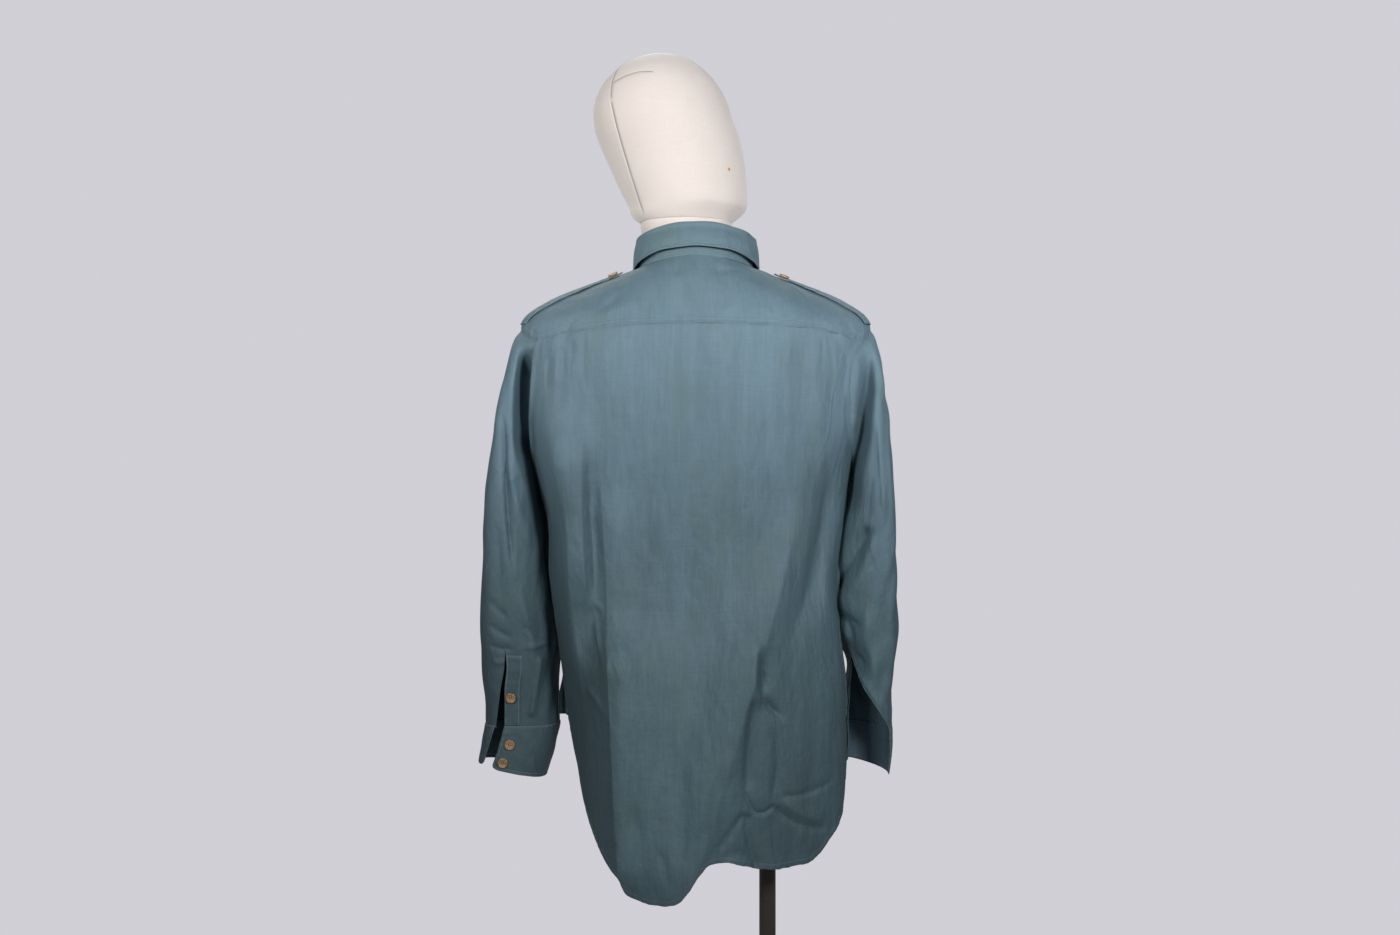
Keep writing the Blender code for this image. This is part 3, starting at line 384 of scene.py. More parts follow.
def outward(shape, angle, ring, by):
    """The shape's points moved out by a distance along its normals."""
    across = shape(angle + 0.5, ring) - shape(angle - 0.5, ring)
    down = shape(angle, np.minimum(ring + 0.02, 14)) - shape(angle, np.maximum(ring - 0.02, 0))
    normal = np.cross(across, down)
    normal /= np.linalg.norm(normal, axis=-1, keepdims=True)
    return shape(angle, ring) + normal * np.asarray(by)[..., None]


def flat_lengths(grid):
    """Distances over a surface: across from its first column and down from its first row."""
    across, down = (np.linalg.norm(np.diff(grid, axis=axis), axis=-1) for axis in (1, 0))
    return (np.pad(np.cumsum(across, axis=1), ((0, 0), (1, 0))),
            np.pad(np.cumsum(down, axis=0), ((1, 0), (0, 0))))


def linen(name, seams=(), spot=None):
    """Cream linen: a plain weave with thick and thin threads both ways, a few yellow spots, and
    painted shade on the neck below the head.

    Each seam is a map of (distance across, distance along from -1 to 1 of its length).
    """
    cloth = Finish(name, Sheen_Weight=0.40, Sheen_Roughness=0.6, Specular_IOR_Level=0.25)
    place = cloth.place()
    warp = cloth.noise(place, (1500.0, 1500.0, 45.0), 2.0)
    weft = cloth.noise(place, (60.0, 60.0, 1500.0), 2.0)
    blot = cloth.noise(place, (14.0, 14.0, 9.0), 4.0, 0.6)
    threads = warp * 0.5 + weft * 0.5
    tone = (threads.between(0.30, 0.72) * 0.45 + blot * 0.55)
    colour = cloth.blend(tone, (0.490, 0.437, 0.402), (0.580, 0.526, 0.490))
    high = place.part("Z")
    # Painted shade: the linen darkens halfway toward a deep brown from z 1.585 down to 1.545 and
    # below, on the neck under the head and inside the collar.
    colour = cloth.blend(high.between(1.585, 1.545) * 0.50, colour, (0.300, 0.258, 0.232))
    foxed = cloth.noise(place, (46.0, 46.0, 40.0), 2.0)
    colour = cloth.blend(foxed.between(0.74, 0.80) * 0.18, colour, (0.50, 0.36, 0.20))
    height = threads * 0.00022 + blot * 0.0006
    for key in seams:
        flat = cloth.flat(key)
        aside = abs(flat.part("X"))
        within = abs(flat.part("Y")).between(1.0, 0.8)
        colour = cloth.blend(aside.between(0.0011, 0.0003) * within * 0.72, colour,
                             (0.115, 0.095, 0.085))
        height = height - aside.between(0.0030, 0.0) * within * 0.0009
    if spot is not None:
        away = cloth.node("ShaderNodeVectorMath", {"operation": "DISTANCE"}, {0: place, 1: spot},
                          "Value")
        ragged = away + blot * 0.003
        colour = cloth.blend(ragged.between(0.0052, 0.0030) * 0.9, colour, (0.62, 0.30, 0.05))
        colour = cloth.blend(ragged.between(0.0034, 0.0026) * 0.8, colour, (0.12, 0.06, 0.03))
    return cloth.done(colour, threads * 0.15 + 0.72, height)


columns = np.linspace(-180.0, 180.0, 97)
turn = np.radians(columns)
over_front = np.clip(-np.cos(turn) * 2.2 - 0.9, 0, 1) * 0.009
rings = []
for z_back, z_front, x_mid, y_mid, wide, deep in NECK:
    height = (z_back + z_front) / 2 + (z_back - z_front) / 2 * np.cos(turn)
    rings.append(np.stack([x_mid + wide * np.sin(turn), y_mid + deep * np.cos(turn), height], -1))
for ring, ease in UNDER_YOKE:
    rings.append(outward(ring_surface, columns, ring + 0 * columns, -(ease + over_front)))
for ring, *ease in TORSO:
    rings.append(ring_surface(columns, ring, ease))
rings[-2][:, 2] -= 0.006
rings[-1] = rings[-1] * 0 + rings[-2].mean(axis=0)
torso_grid = smooth_rows(rings[1:-1], np.linspace(0, len(rings) - 3, 110))
torso_grid = np.concatenate([[rings[0]], torso_grid, [rings[-1]]])
torso = surface("linen_torso", torso_grid, torso_grid.mean(axis=1, keepdims=True),
                closed_rows=len(torso_grid), poles=(0, -1))
torso.data.materials.append(linen("torso_linen"))
in_place_of(torso, "form_torso")

# ------------------------------------------------------------------ dress form: head
# An egg-shaped head without a face, leaning a little, in panels of the same linen. Its seams run
# over the crown and down the back, and the covering has one rusty spot.
HEAD = (
    # z, x centre, y centre, half-width, half-depth
    (1.5756, 0.0150, 0.0070, 0.0625, 0.0580), (1.5765, 0.0155, 0.0060, 0.0645, 0.0610),
    (1.5830, 0.0160, -0.0030, 0.0725, 0.0740), (1.5900, 0.0145, -0.0080, 0.0785, 0.0830),
    (1.6000, 0.0130, -0.0110, 0.0830, 0.0900), (1.6200, 0.0180, -0.0120, 0.0880, 0.0950),
    (1.6450, 0.0245, -0.0120, 0.0930, 0.0990), (1.6700, 0.0320, -0.0110, 0.0970, 0.1010),
    (1.6950, 0.0400, -0.0090, 0.0995, 0.1020), (1.7200, 0.0475, -0.0070, 0.0975, 0.1000),
    (1.7450, 0.0505, -0.0050, 0.0925, 0.0950), (1.7680, 0.0512, -0.0030, 0.0805, 0.0850),
    (1.7880, 0.0515, -0.0020, 0.0625, 0.0680), (1.8030, 0.0510, -0.0010, 0.0395, 0.0430),
    (1.8105, 0.0500, 0.0000, 0.0140, 0.0150), (1.8112, 0.0500, 0.0000, 0.0000, 0.0000),
)
HEAD_SEAMS = {
    # points (x, z) that the seam runs through on the back of the head
    "crown_seam": ((0.0925, 1.8080), (0.1080, 1.7850), (0.1155, 1.7600), (0.1170, 1.7350)),
    "cross_seam": ((0.1165, 1.7590), (0.0980, 1.7660), (0.0780, 1.7700), (0.0570, 1.7690)),
    "nape_seam": ((0.1170, 1.7350), (0.1080, 1.6950), (0.0900, 1.6350), (0.0720, 1.5800)),
}


def beside(x, z, points):
    """How far (x, z) is to the side of a line through points, and where along it, -1 to 1."""
    run = smooth_rows(points, np.linspace(0, len(points) - 1, 41))
    step = np.diff(run, axis=0)
    off = np.stack([x, z], -1)[..., None, :] - run[:-1]
    share = np.clip(np.sum(off * step, -1) / np.sum(step**2, -1), 0, 1)
    gap = off - share[..., None] * step
    nearest = np.argmin(np.sum(gap**2, -1), axis=-1)[..., None]
    side = np.take_along_axis(gap[..., 1] * step[:, 0] - gap[..., 0] * step[:, 1], nearest, -1)
    far = np.take_along_axis(np.linalg.norm(gap, axis=-1), nearest, -1)
    along = (nearest + np.take_along_axis(share, nearest, -1)) / 20.0 - 1.0
    return np.stack([np.sign(side) * far, along], -1)[..., 0, :]


around = np.linspace(0, 2 * np.pi, 129)
level = np.linspace(0, len(HEAD) - 1, 130)
z, x_mid, y_mid, wide, deep = np.moveaxis(smooth_rows(HEAD, level), -1, 0)[:, :, None]
wide, deep = np.maximum(wide, 0.0), np.maximum(deep, 0.0)
head_grid = np.stack([x_mid + wide * np.sin(around), y_mid + deep * np.cos(around),
                      z + 0 * around], -1)
head_grid = np.concatenate([head_grid[:1].mean(axis=1, keepdims=True) + 0 * head_grid[:1],
                            head_grid])
seam_maps = {}
for key, points in HEAD_SEAMS.items():
    flat = beside(head_grid[..., 0], head_grid[..., 2], points)
    flat[..., 1] = np.where(head_grid[..., 1] > y_mid.mean(), flat[..., 1], 2.0)
    seam_maps[key] = flat
head = surface("linen_head", head_grid, head_grid.mean(axis=1, keepdims=True),
               closed_rows=len(head_grid), poles=(0, -1), maps=seam_maps)
head.data.materials.append(linen("head_linen", tuple(HEAD_SEAMS), spot=(-0.0439, 0.0552, 1.6420)))
in_place_of(head, "form_head")

# ------------------------------------------------------------------ back
# One long panel of blue-green sateen from the yoke to the tail, its curved hem turned and
# stitched. It hangs in a long diagonal fold, upright folds at the left and a soft bag low right.
YOKE_T, UNDERARM_T = 3.0, 6.0
SEAM_T = 3.45            # the yoke seam drops to this ring where it meets the armhole
WALL = 0.0010            # one layer with its weave
LAP = 0.0055             # cloth that goes on under the piece sewn over it
HEM_TURN = 0.0085
HEM_STITCH = HEM_TURN - 0.001
EDGE_STITCH = 0.0016     # a row close beside a seam
TUCK_DEEP = 0.0012       # cloth under a lap lies this much deeper
RING_TALL = 0.0625       # metres a ring, just below the yoke
SEAM_OUT = 0.0036        # the side seams and armhole seams stand out this much
# Back edge of each armhole: ring number and how far out it lies on each side.
ARMHOLE_BACK = (
    # ring   left    right
    (3.45, 0.2120, 0.2240), (3.70, 0.2175, 0.2130), (4.00, 0.2205, 0.2050),
    (4.50, 0.2240, 0.2020), (5.00, 0.2265, 0.2050), (5.50, 0.2272, 0.2110),
    (6.00, 0.2250, 0.2140),
)
# Back hem: angle from the centre back (+ is the wearer's left) and height.
HEM = (
    (-90.0, 0.890), (-81.0, 0.832), (-70.5, 0.764), (-56.0, 0.728), (-45.0, 0.705),
    (-35.0, 0.700), (-27.0, 0.6975), (-19.3, 0.700), (-13.0, 0.706), (-8.4, 0.711),
    (-4.6, 0.711), (-1.8, 0.706), (1.6, 0.679), (5.7, 0.660), (10.0, 0.655), (14.4, 0.654),
    (20.0, 0.656), (26.0, 0.661), (31.0, 0.668), (34.5, 0.688), (40.2, 0.700), (47.0, 0.722),
    (53.5, 0.750), (60.0, 0.785), (67.0, 0.830), (78.0, 0.868), (90.0, 0.890),
)
# Folds: a curve through three points (x, z) seen from behind, its half-width to either side (a is
# the +x side of one that runs down, the lower side of one that runs toward -x), how far it
# stands out (- is a hollow), how soft it is (2) or sharp (1.2) to either side, and the share of
# it that fades.
BACK_FOLDS = (
    # x0     z0      x1      z1      x2      z2     wide_a  wide_b  out soft_a soft_b fade
    (-0.1466, 1.2050, -0.0521, 0.8656, 0.0610, 0.5261, 0.0560, 0.0460, 0.0300, 2.0, 1.0, 0.26),
    (-0.1799, 1.2716, -0.1626, 1.1318, -0.1240, 0.9920, 0.0090, 0.0260, -0.0170, 1.4, 2.0, 0.30),
    (0.1500, 1.3249, 0.1545, 1.1784, 0.1490, 1.0053, 0.0360, 0.0130, 0.0200, 2.0, 1.4, 0.32),
    (0.1289, 1.2184, 0.1223, 1.0719, 0.1169, 0.9255, 0.0100, 0.0400, 0.0080, 1.2, 2.0, 0.20),
    (0.1236, 1.0453, 0.1130, 0.8323, 0.0996, 0.6193, 0.0300, 0.0600, 0.0330, 1.0, 2.0, 0.20),
    (0.1982, 1.3482, 0.1888, 1.1119, 0.1742, 0.9055, 0.0340, 0.0280, 0.0250, 2.0, 2.0, 0.20),
    (0.1439, 1.2716, 0.1412, 1.1618, 0.1349, 1.0353, 0.0060, 0.0140, -0.0080, 1.6, 1.8, 0.40),
    # sharper creases: beside the left edge
    (0.1436, 1.0573, 0.1343, 1.0480, 0.1223, 1.0360, 0.0030, 0.0050, 0.0022, 1.4, 1.4, 0.30),
    (0.1382, 1.0373, 0.1329, 0.9987, 0.1196, 0.9574, 0.0030, 0.0050, 0.0024, 1.4, 1.4, 0.25),
    (0.1303, 0.9947, 0.1329, 0.9707, 0.1409, 0.9521, 0.0030, 0.0040, -0.0016, 1.5, 1.5, 0.30),
    (0.1516, 0.9414, 0.1356, 0.9215, 0.1183, 0.8962, 0.0030, 0.0060, 0.0030, 1.4, 1.6, 0.30),
    (0.1183, 1.0453, 0.1076, 1.0187, 0.1050, 1.0000, 0.0025, 0.0030, 0.0015, 1.4, 1.4, 0.30),
    (0.1183, 1.0080, 0.1063, 0.9854, 0.0943, 0.9494, 0.0025, 0.0030, -0.0018, 1.4, 1.4, 0.30),
    (0.1130, 0.9840, 0.1050, 0.9654, 0.1023, 0.9441, 0.0025, 0.0030, 0.0015, 1.4, 1.4, 0.30),
    (0.1209, 1.2610, 0.1263, 1.2383, 0.1249, 1.2130, 0.0025, 0.0030, -0.0018, 1.4, 1.4, 0.30),
    (0.0597, 1.2144, 0.0650, 1.1851, 0.0677, 1.1584, 0.0025, 0.0030, -0.0020, 1.4, 1.4, 0.30),
    (0.0677, 1.1545, 0.0650, 1.1318, 0.0637, 1.1092, 0.0025, 0.0030, -0.0014, 1.4, 1.4, 0.30),
    (0.1675, 1.4074, 0.1675, 1.3928, 0.1662, 1.3781, 0.0025, 0.0030, -0.0012, 1.5, 1.5, 0.30),
    (0.1476, 1.3595, 0.1489, 1.3448, 0.1476, 1.3289, 0.0025, 0.0030, -0.0012, 1.5, 1.5, 0.30),
    (0.1276, 0.7271, 0.1169, 0.7298, 0.1036, 0.7364, 0.0040, 0.0050, -0.0035, 1.5, 1.5, 0.30),
    (0.0544, 0.7351, 0.0424, 0.7045, 0.0357, 0.6672, 0.0040, 0.0060, -0.0035, 1.4, 1.6, 0.30),
    (0.0863, 0.7923, 0.0757, 0.7258, 0.0677, 0.6526, 0.0080, 0.0100, -0.0030, 2.0, 2.0, 0.30),
    # on the right: the sharp crease, the bag it hangs in and the pulls below it
    (-0.0881, 1.0027, -0.0867, 0.9654, -0.0894, 0.9268, 0.0040, 0.0075, -0.0130, 1.6, 1.4, 0.42),
    (-0.0881, 0.9361, -0.0974, 0.9135, -0.1214, 0.8975, 0.0036, 0.0070, -0.0090, 1.6, 1.4, 0.45),
    (-0.0801, 0.9987, -0.0788, 0.9521, -0.0867, 0.9068, 0.0060, 0.0040, 0.0020, 1.8, 1.6, 0.25),
    (-0.0761, 0.9388, -0.0674, 0.8696, -0.0648, 0.7923, 0.0036, 0.0160, -0.0070, 1.4, 1.8, 0.20),
    (-0.0974, 0.8935, -0.1067, 0.8429, -0.0987, 0.7870, 0.0050, 0.0040, -0.0035, 1.6, 1.4, 0.25),
    (-0.0641, 0.8083, -0.0788, 0.7764, -0.1054, 0.7857, 0.0026, 0.0032, -0.0045, 1.2, 1.2, 0.12),
    (-0.1001, 0.7844, -0.1333, 0.7564, -0.1773, 0.7444, 0.0026, 0.0060, -0.0045, 1.2, 1.6, 0.12),
    (-0.1107, 0.7950, -0.1400, 0.7697, -0.1773, 0.7577, 0.0050, 0.0080, 0.0030, 1.8, 1.8, 0.25),
    (-0.1120, 0.7977, -0.1440, 0.7950, -0.1932, 0.8123, 0.0026, 0.0060, -0.0035, 1.2, 1.6, 0.20),
    (-0.0668, 0.7790, -0.0668, 0.7418, -0.0814, 0.6912, 0.0030, 0.0080, -0.0050, 1.4, 1.6, 0.15),
    (-0.1001, 0.7764, -0.1014, 0.7444, -0.1094, 0.7045, 0.0050, 0.0050, -0.0020, 1.8, 1.8, 0.25),
    (-0.0628, 0.7790, -0.0455, 0.7537, -0.0255, 0.7258, 0.0030, 0.0050, -0.0045, 1.4, 1.6, 0.20),
    (-0.0335, 0.7098, -0.0521, 0.7231, -0.0708, 0.7098, 0.0040, 0.0050, -0.0025, 1.6, 1.6, 0.25),
    (-0.1200, 1.3275, -0.1174, 1.2823, -0.1187, 1.2343, 0.0030, 0.0140, 0.0014, 1.6, 1.8, 0.30),
    (-0.0921, 1.1917, -0.0867, 1.1385, -0.0841, 1.0852, 0.0030, 0.0100, -0.0010, 1.6, 1.8, 0.30),
    # short pleats below the yoke's seam
    (0.1982, 1.3914, 0.2022, 1.3621, 0.2008, 1.3249, 0.0030, 0.0040, -0.0022, 1.5, 1.6, 0.30),
    (0.1875, 1.3954, 0.1915, 1.3715, 0.1915, 1.3408, 0.0030, 0.0040, 0.0020, 1.5, 1.6, 0.30),
    (0.1769, 1.3981, 0.1795, 1.3781, 0.1795, 1.3515, 0.0030, 0.0030, -0.0022, 1.5, 1.6, 0.30),
    (0.1662, 1.4074, 0.1689, 1.3888, 0.1689, 1.3621, 0.0030, 0.0030, -0.0020, 1.5, 1.6, 0.30),
    (0.1516, 1.4047, 0.1529, 1.3834, 0.1502, 1.3462, 0.0030, 0.0040, -0.0016, 1.5, 1.6, 0.30),
    (0.1276, 1.4101, 0.1289, 1.3888, 0.1263, 1.3621, 0.0030, 0.0040, -0.0012, 1.5, 1.6, 0.30),
    (-0.1640, 1.4127, -0.1680, 1.3888, -0.1666, 1.3462, 0.0040, 0.0040, -0.0016, 1.5, 1.6, 0.30),
    (-0.1813, 1.4087, -0.1879, 1.3834, -0.1893, 1.3355, 0.0030, 0.0050, 0.0022, 1.5, 1.6, 0.30),
    (-0.1946, 1.4047, -0.2026, 1.3781, -0.2066, 1.3355, 0.0030, 0.0040, -0.0024, 1.5, 1.6, 0.30),
    (-0.2066, 1.4021, -0.2145, 1.3834, -0.2172, 1.3621, 0.0030, 0.0040, 0.0020, 1.5, 1.6, 0.30),
    (-0.1453, 1.4154, -0.1453, 1.3914, -0.1400, 1.3568, 0.0040, 0.0040, -0.0012, 1.5, 1.6, 0.30),
    (-0.1187, 1.4181, -0.1214, 1.3914, -0.1174, 1.3621, 0.0030, 0.0050, 0.0010, 1.5, 1.6, 0.30),
    (0.0624, 1.4154, 0.0597, 1.3888, 0.0624, 1.3515, 0.0030, 0.0050, -0.0009, 1.5, 1.6, 0.30),
    (-0.0255, 1.4127, -0.0228, 1.3781, -0.0255, 1.3382, 0.0030, 0.0050, 0.0009, 1.5, 1.6, 0.30),
    # long soft ones over the whole back
    (0.095, 1.330, 0.088, 1.150, 0.078, 0.930, 0.016, 0.026, -0.0035, 2.0, 2.0, 0.3),
    (0.050, 1.080, 0.040, 0.900, 0.060, 0.720, 0.018, 0.022, 0.0030, 2.0, 2.0, 0.3),
    (0.010, 1.300, 0.004, 1.130, 0.012, 0.960, 0.022, 0.026, -0.0022, 2.0, 2.0, 0.3),
    (-0.030, 1.180, -0.034, 1.020, -0.020, 0.860, 0.020, 0.018, 0.0026, 2.0, 2.0, 0.3),
    (-0.060, 1.360, -0.062, 1.250, -0.075, 1.120, 0.022, 0.020, 0.0026, 2.0, 2.0, 0.3),
    (-0.095, 1.330, -0.100, 1.210, -0.116, 1.090, 0.014, 0.018, -0.0026, 2.0, 2.0, 0.3),
    (-0.160, 1.360, -0.168, 1.290, -0.172, 1.220, 0.012, 0.014, 0.0030, 2.0, 2.0, 0.3),
    (0.090, 0.920, 0.084, 0.820, 0.088, 0.720, 0.010, 0.014, -0.0035, 2.0, 2.0, 0.3),
    (0.030, 0.860, 0.018, 0.780, 0.030, 0.690, 0.012, 0.014, -0.0030, 2.0, 2.0, 0.3),
    (-0.040, 0.850, -0.022, 0.780, 0.000, 0.720, 0.010, 0.016, -0.0040, 2.0, 2.0, 0.3),
)
# Yoke and neck: short pulls under the collar and a curved crease over the right shoulder.
YOKE_FOLDS = (
    (-0.0122, 1.4939, -0.0441, 1.4993, -0.0654, 1.4999, 0.0040, 0.0070, -0.0026, 1.5, 1.6, 0.30),
    (0.0464, 1.5059, 0.0437, 1.5006, 0.0424, 1.4913, 0.0025, 0.0030, -0.0020, 1.4, 1.5, 0.30),
    (0.0278, 1.5139, 0.0251, 1.5033, 0.0278, 1.4899, 0.0030, 0.0030, -0.0020, 1.5, 1.5, 0.30),
    (0.0091, 1.5166, 0.0065, 1.5006, 0.0104, 1.4820, 0.0030, 0.0040, 0.0018, 1.5, 1.5, 0.30),
    (-0.0228, 1.5086, -0.0282, 1.4926, -0.0308, 1.4766, 0.0030, 0.0040, -0.0016, 1.5, 1.5, 0.30),
    (0.0863, 1.4860, 0.0770, 1.4713, 0.0797, 1.4527, 0.0040, 0.0060, -0.0028, 1.5, 1.6, 0.30),
    (0.0996, 1.4766, 0.1130, 1.4580, 0.1369, 1.4420, 0.0060, 0.0080, -0.0030, 1.7, 1.7, 0.30),
    (-0.0641, 1.4953, -0.0841, 1.4846, -0.1174, 1.4793, 0.0050, 0.0060, -0.0025, 1.6, 1.6, 0.30),
    (-0.1134, 1.4766, -0.1453, 1.4580, -0.1773, 1.4340, 0.0070, 0.0090, -0.0032, 1.8, 1.8, 0.30),
    (0.1289, 1.4340, 0.1130, 1.4473, 0.0757, 1.4580, 0.0080, 0.0100, 0.0024, 1.8, 1.8, 0.30),
    (0.1822, 1.4287, 0.1928, 1.4074, 0.1995, 1.3888, 0.0050, 0.0060, 0.0020, 1.7, 1.7, 0.30),
    (0.1622, 1.4420, 0.1742, 1.4181, 0.1875, 1.3981, 0.0050, 0.0060, -0.0022, 1.7, 1.7, 0.30),
    (-0.1932, 1.4420, -0.2039, 1.4287, -0.2145, 1.4074, 0.0050, 0.0060, -0.0024, 1.7, 1.7, 0.30),
)
# Front, seen through from behind: soft upright folds from the chest, two pulls at the armholes.
FRONT_FOLDS = (
    (0.085, 1.330, 0.090, 1.150, 0.075, 0.900, 0.020, 0.026, 0.0055, 2.0, 2.0, 0.3),
    (0.130, 1.280, 0.138, 1.120, 0.128, 0.880, 0.014, 0.020, -0.0060, 2.0, 2.0, 0.2),
    (0.050, 1.120, 0.052, 1.000, 0.048, 0.860, 0.012, 0.016, -0.0040, 2.0, 2.0, 0.3),
    (-0.075, 1.300, -0.082, 1.120, -0.070, 0.870, 0.022, 0.020, 0.0050, 2.0, 2.0, 0.3),
    (-0.120, 1.260, -0.128, 1.100, -0.120, 0.880, 0.018, 0.014, -0.0060, 2.0, 2.0, 0.2),
    (-0.045, 1.180, -0.050, 1.050, -0.042, 0.920, 0.012, 0.012, -0.0035, 2.0, 2.0, 0.3),
    (0.175, 1.320, 0.140, 1.285, 0.095, 1.265, 0.010, 0.014, -0.0035, 1.7, 1.7, 0.3),
    (-0.172, 1.330, -0.140, 1.290, -0.100, 1.262, 0.010, 0.014, -0.0035, 1.7, 1.7, 0.3),
    (0.160, 1.060, 0.150, 0.990, 0.155, 0.900, 0.008, 0.010, 0.0035, 1.6, 1.6, 0.3),
    (-0.158, 1.080, -0.150, 1.000, -0.160, 0.920, 0.008, 0.010, 0.0035, 1.6, 1.6, 0.3),
    (0.030, 1.352, 0.060, 1.330, 0.098, 1.322, 0.008, 0.010, -0.0025, 1.7, 1.7, 0.3),
    (-0.030, 1.340, -0.062, 1.322, -0.096, 1.318, 0.008, 0.010, -0.0025, 1.7, 1.7, 0.3),
)
SWING = 0.0060           # the right side swings out this much beside its cuff


def eased(share):
    """0 to 1 with a level start and end."""
    share = np.clip(share, 0, 1)
    return share * share * (3 - 2 * share)


STRETCHES = 24


def fold_height(x, z, table):
    """Sum of the folds: out times exp(-(distance / half-width) ** soft), fading at the ends.

    Each curve is the parabola through its three points, taken as STRETCHES straight ones.
    """
    total = np.zeros(x.shape)
    t = np.linspace(0, 1, STRETCHES + 1)
    through = np.stack([(1 - t) * (1 - 2 * t), 4 * t * (1 - t), t * (2 * t - 1)])
    for x0, z0, x1, z1, x2, z2, wide_a, wide_b, out, soft_a, soft_b, fade in table:
        line = np.stack([(x0, x1, x2) @ through, (z0, z1, z2) @ through], -1)
        reach = 3.2 * max(wide_a, wide_b)
        low, high = line.min(axis=0) - reach, line.max(axis=0) + reach
        here = (x > low[0]) & (x < high[0]) & (z > low[1]) & (z < high[1])
        if not here.any():
            continue
        step = np.diff(line, axis=0)
        off = np.stack([x[here], z[here]], -1)[:, None] - line[:-1]
        share = np.clip(np.sum(off * step, -1) / np.sum(step**2, -1), 0, 1)
        gap = off - share[..., None] * step
        far = np.linalg.norm(gap, axis=-1)
        nearest = np.argmin(far, axis=-1)[:, None]
        side = np.take_along_axis(gap[..., 1] * step[:, 0] - gap[..., 0] * step[:, 1], nearest, 1)
        run = (nearest + np.take_along_axis(share, nearest, 1))[:, 0] / STRETCHES
        wide, soft = np.where(side > 0, (wide_a, soft_a), (wide_b, soft_b)).T
        bell = np.exp(-((np.take_along_axis(far, nearest, 1)[:, 0] / wide) ** soft))
        bell = bell * eased(run / fade) * eased((1 - run) / fade)
        total[here] += out * bell
    return total


def unevenness(points, seed, wide, tall, height):
    """Gentle waviness: twelve sine waves of mixed lengths and directions, added up."""
    dice = np.random.default_rng(seed)
    total = np.zeros(points.shape[:-1])
    for _ in range(12):
        across = 2 * np.pi / (wide * dice.uniform(0.6, 1.8)) * dice.choice((-1, 1))
        upward = 2 * np.pi / (tall * dice.uniform(0.6, 1.8)) * dice.choice((-1, 1))
        phase = dice.uniform(0, 2 * np.pi)
        bend = 0.9 * np.sin(points[..., 2] * 2 * np.pi / (tall * 1.7) + phase * 3)
        total += np.sin(across * points[..., 0] + 0.7 * across * points[..., 1]
                        + upward * points[..., 2] + phase + bend)
    return total * height / 6


def body(angle, ring):
    """The cloth's outer face with its folds, which push it back or forward."""
    points = ring_surface(angle, ring)
    c = np.cos(np.radians(np.broadcast_to(angle, points.shape[:-1])))
    at_back = fold_height(points[..., 0], points[..., 2], BACK_FOLDS + YOKE_FOLDS)
    at_front = -fold_height(points[..., 0], points[..., 2], FRONT_FOLDS)
    flare = SWING * np.exp(-(((points[..., 2] - 0.900) / 0.085) ** 2))
    points[..., 0] -= flare * np.clip(-points[..., 0] / 0.2 - 0.35, 0, 1) / 0.65
    points[..., 1] += np.where(c > 0, at_back, at_front) * np.clip(np.abs(c) * 1.8, 0, 1)
    return points


def ring_at_height(z):
    """Ring number of a level below the underarm."""
    heights = np.array([row[6] for row in RINGS])
    t = np.interp(-np.asarray(z, float), -heights[6:], np.arange(6, len(RINGS)))
    for _ in range(8):
        t = t + (smooth_rows(RINGS, t)[..., 6] - z) / 0.08
    return t


def angle_at_width(ring, x, side):
    """Angle at which a ring is x wide of the centre line."""
    row = smooth_rows(RINGS, ring)
    half = row[..., 0] if side > 0 else row[..., 1]
    return np.degrees(np.arcsin(np.minimum(1.0, x / half) ** (1 / row[..., 8])))


def armhole_back(ring, side):
    """Angle of the armhole's back edge, or of the side seam below the underarm."""
    ring = np.asarray(ring, float)
    table = np.array(ARMHOLE_BACK)
    edge = angle_at_width(ring, np.interp(ring, table[:, 0], table[:, 1 if side > 0 else 2]), side)
    blend = np.clip((ring - 5.5) / 0.5, 0, 1)
    return edge + (90.0 - edge) * blend**2


def spread(count, length, start=True, end=True):
    """Shares from 0 to 1, evenly, with more lines just inside the rounded edges."""
    close = np.array([0.0003, 0.0007, 0.0012, 0.0020]) / length
    return np.unique(np.concatenate([np.linspace(0, 1, count), close if start else [],
                                     1 - close if end else []]))


def normals(grid, core):
    """Unit normals of a grid of points, on the side away from core."""
    normal = np.cross(np.gradient(grid, axis=1), np.gradient(grid, axis=0))
    normal /= np.maximum(np.linalg.norm(normal, axis=-1, keepdims=True), 1e-12)
    return normal if np.sum(normal * (grid - core)) > 0 else -normal


def moved_out(grid, core, by):
    """The grid moved along its normals, away from core."""
    return grid + normals(grid, core) * by[..., None]


def cut_maps(grid):
    """Flat coordinates in metres: the cut from its middle column, and the distances to its edges.

    near holds (from the left edge, from the top), far (from the right edge, from the bottom); the
    last is taken square to a slanting hem.
    """
    across, down = flat_lengths(grid)
    middle = across[:, across.shape[1] // 2][:, None]
    hem = np.gradient(grid[-1], axis=0)
    drop = grid[-1] - grid[-3]
    square = np.linalg.norm(np.cross(hem, drop), axis=-1)
    square /= np.linalg.norm(hem, axis=-1) * np.linalg.norm(drop, axis=-1)
    far = np.stack([across[:, -1:] - across, (down[-1:] - down) * square], -1)
    return {"cut": np.stack([across - middle, down], -1), "near": np.stack([across, down], -1),
            "far": far}


STITCH_LONG = 0.0027
EDGES = {"left": ("near", 0), "top": ("near", 1), "right": ("far", 0), "bottom": ("far", 1)}


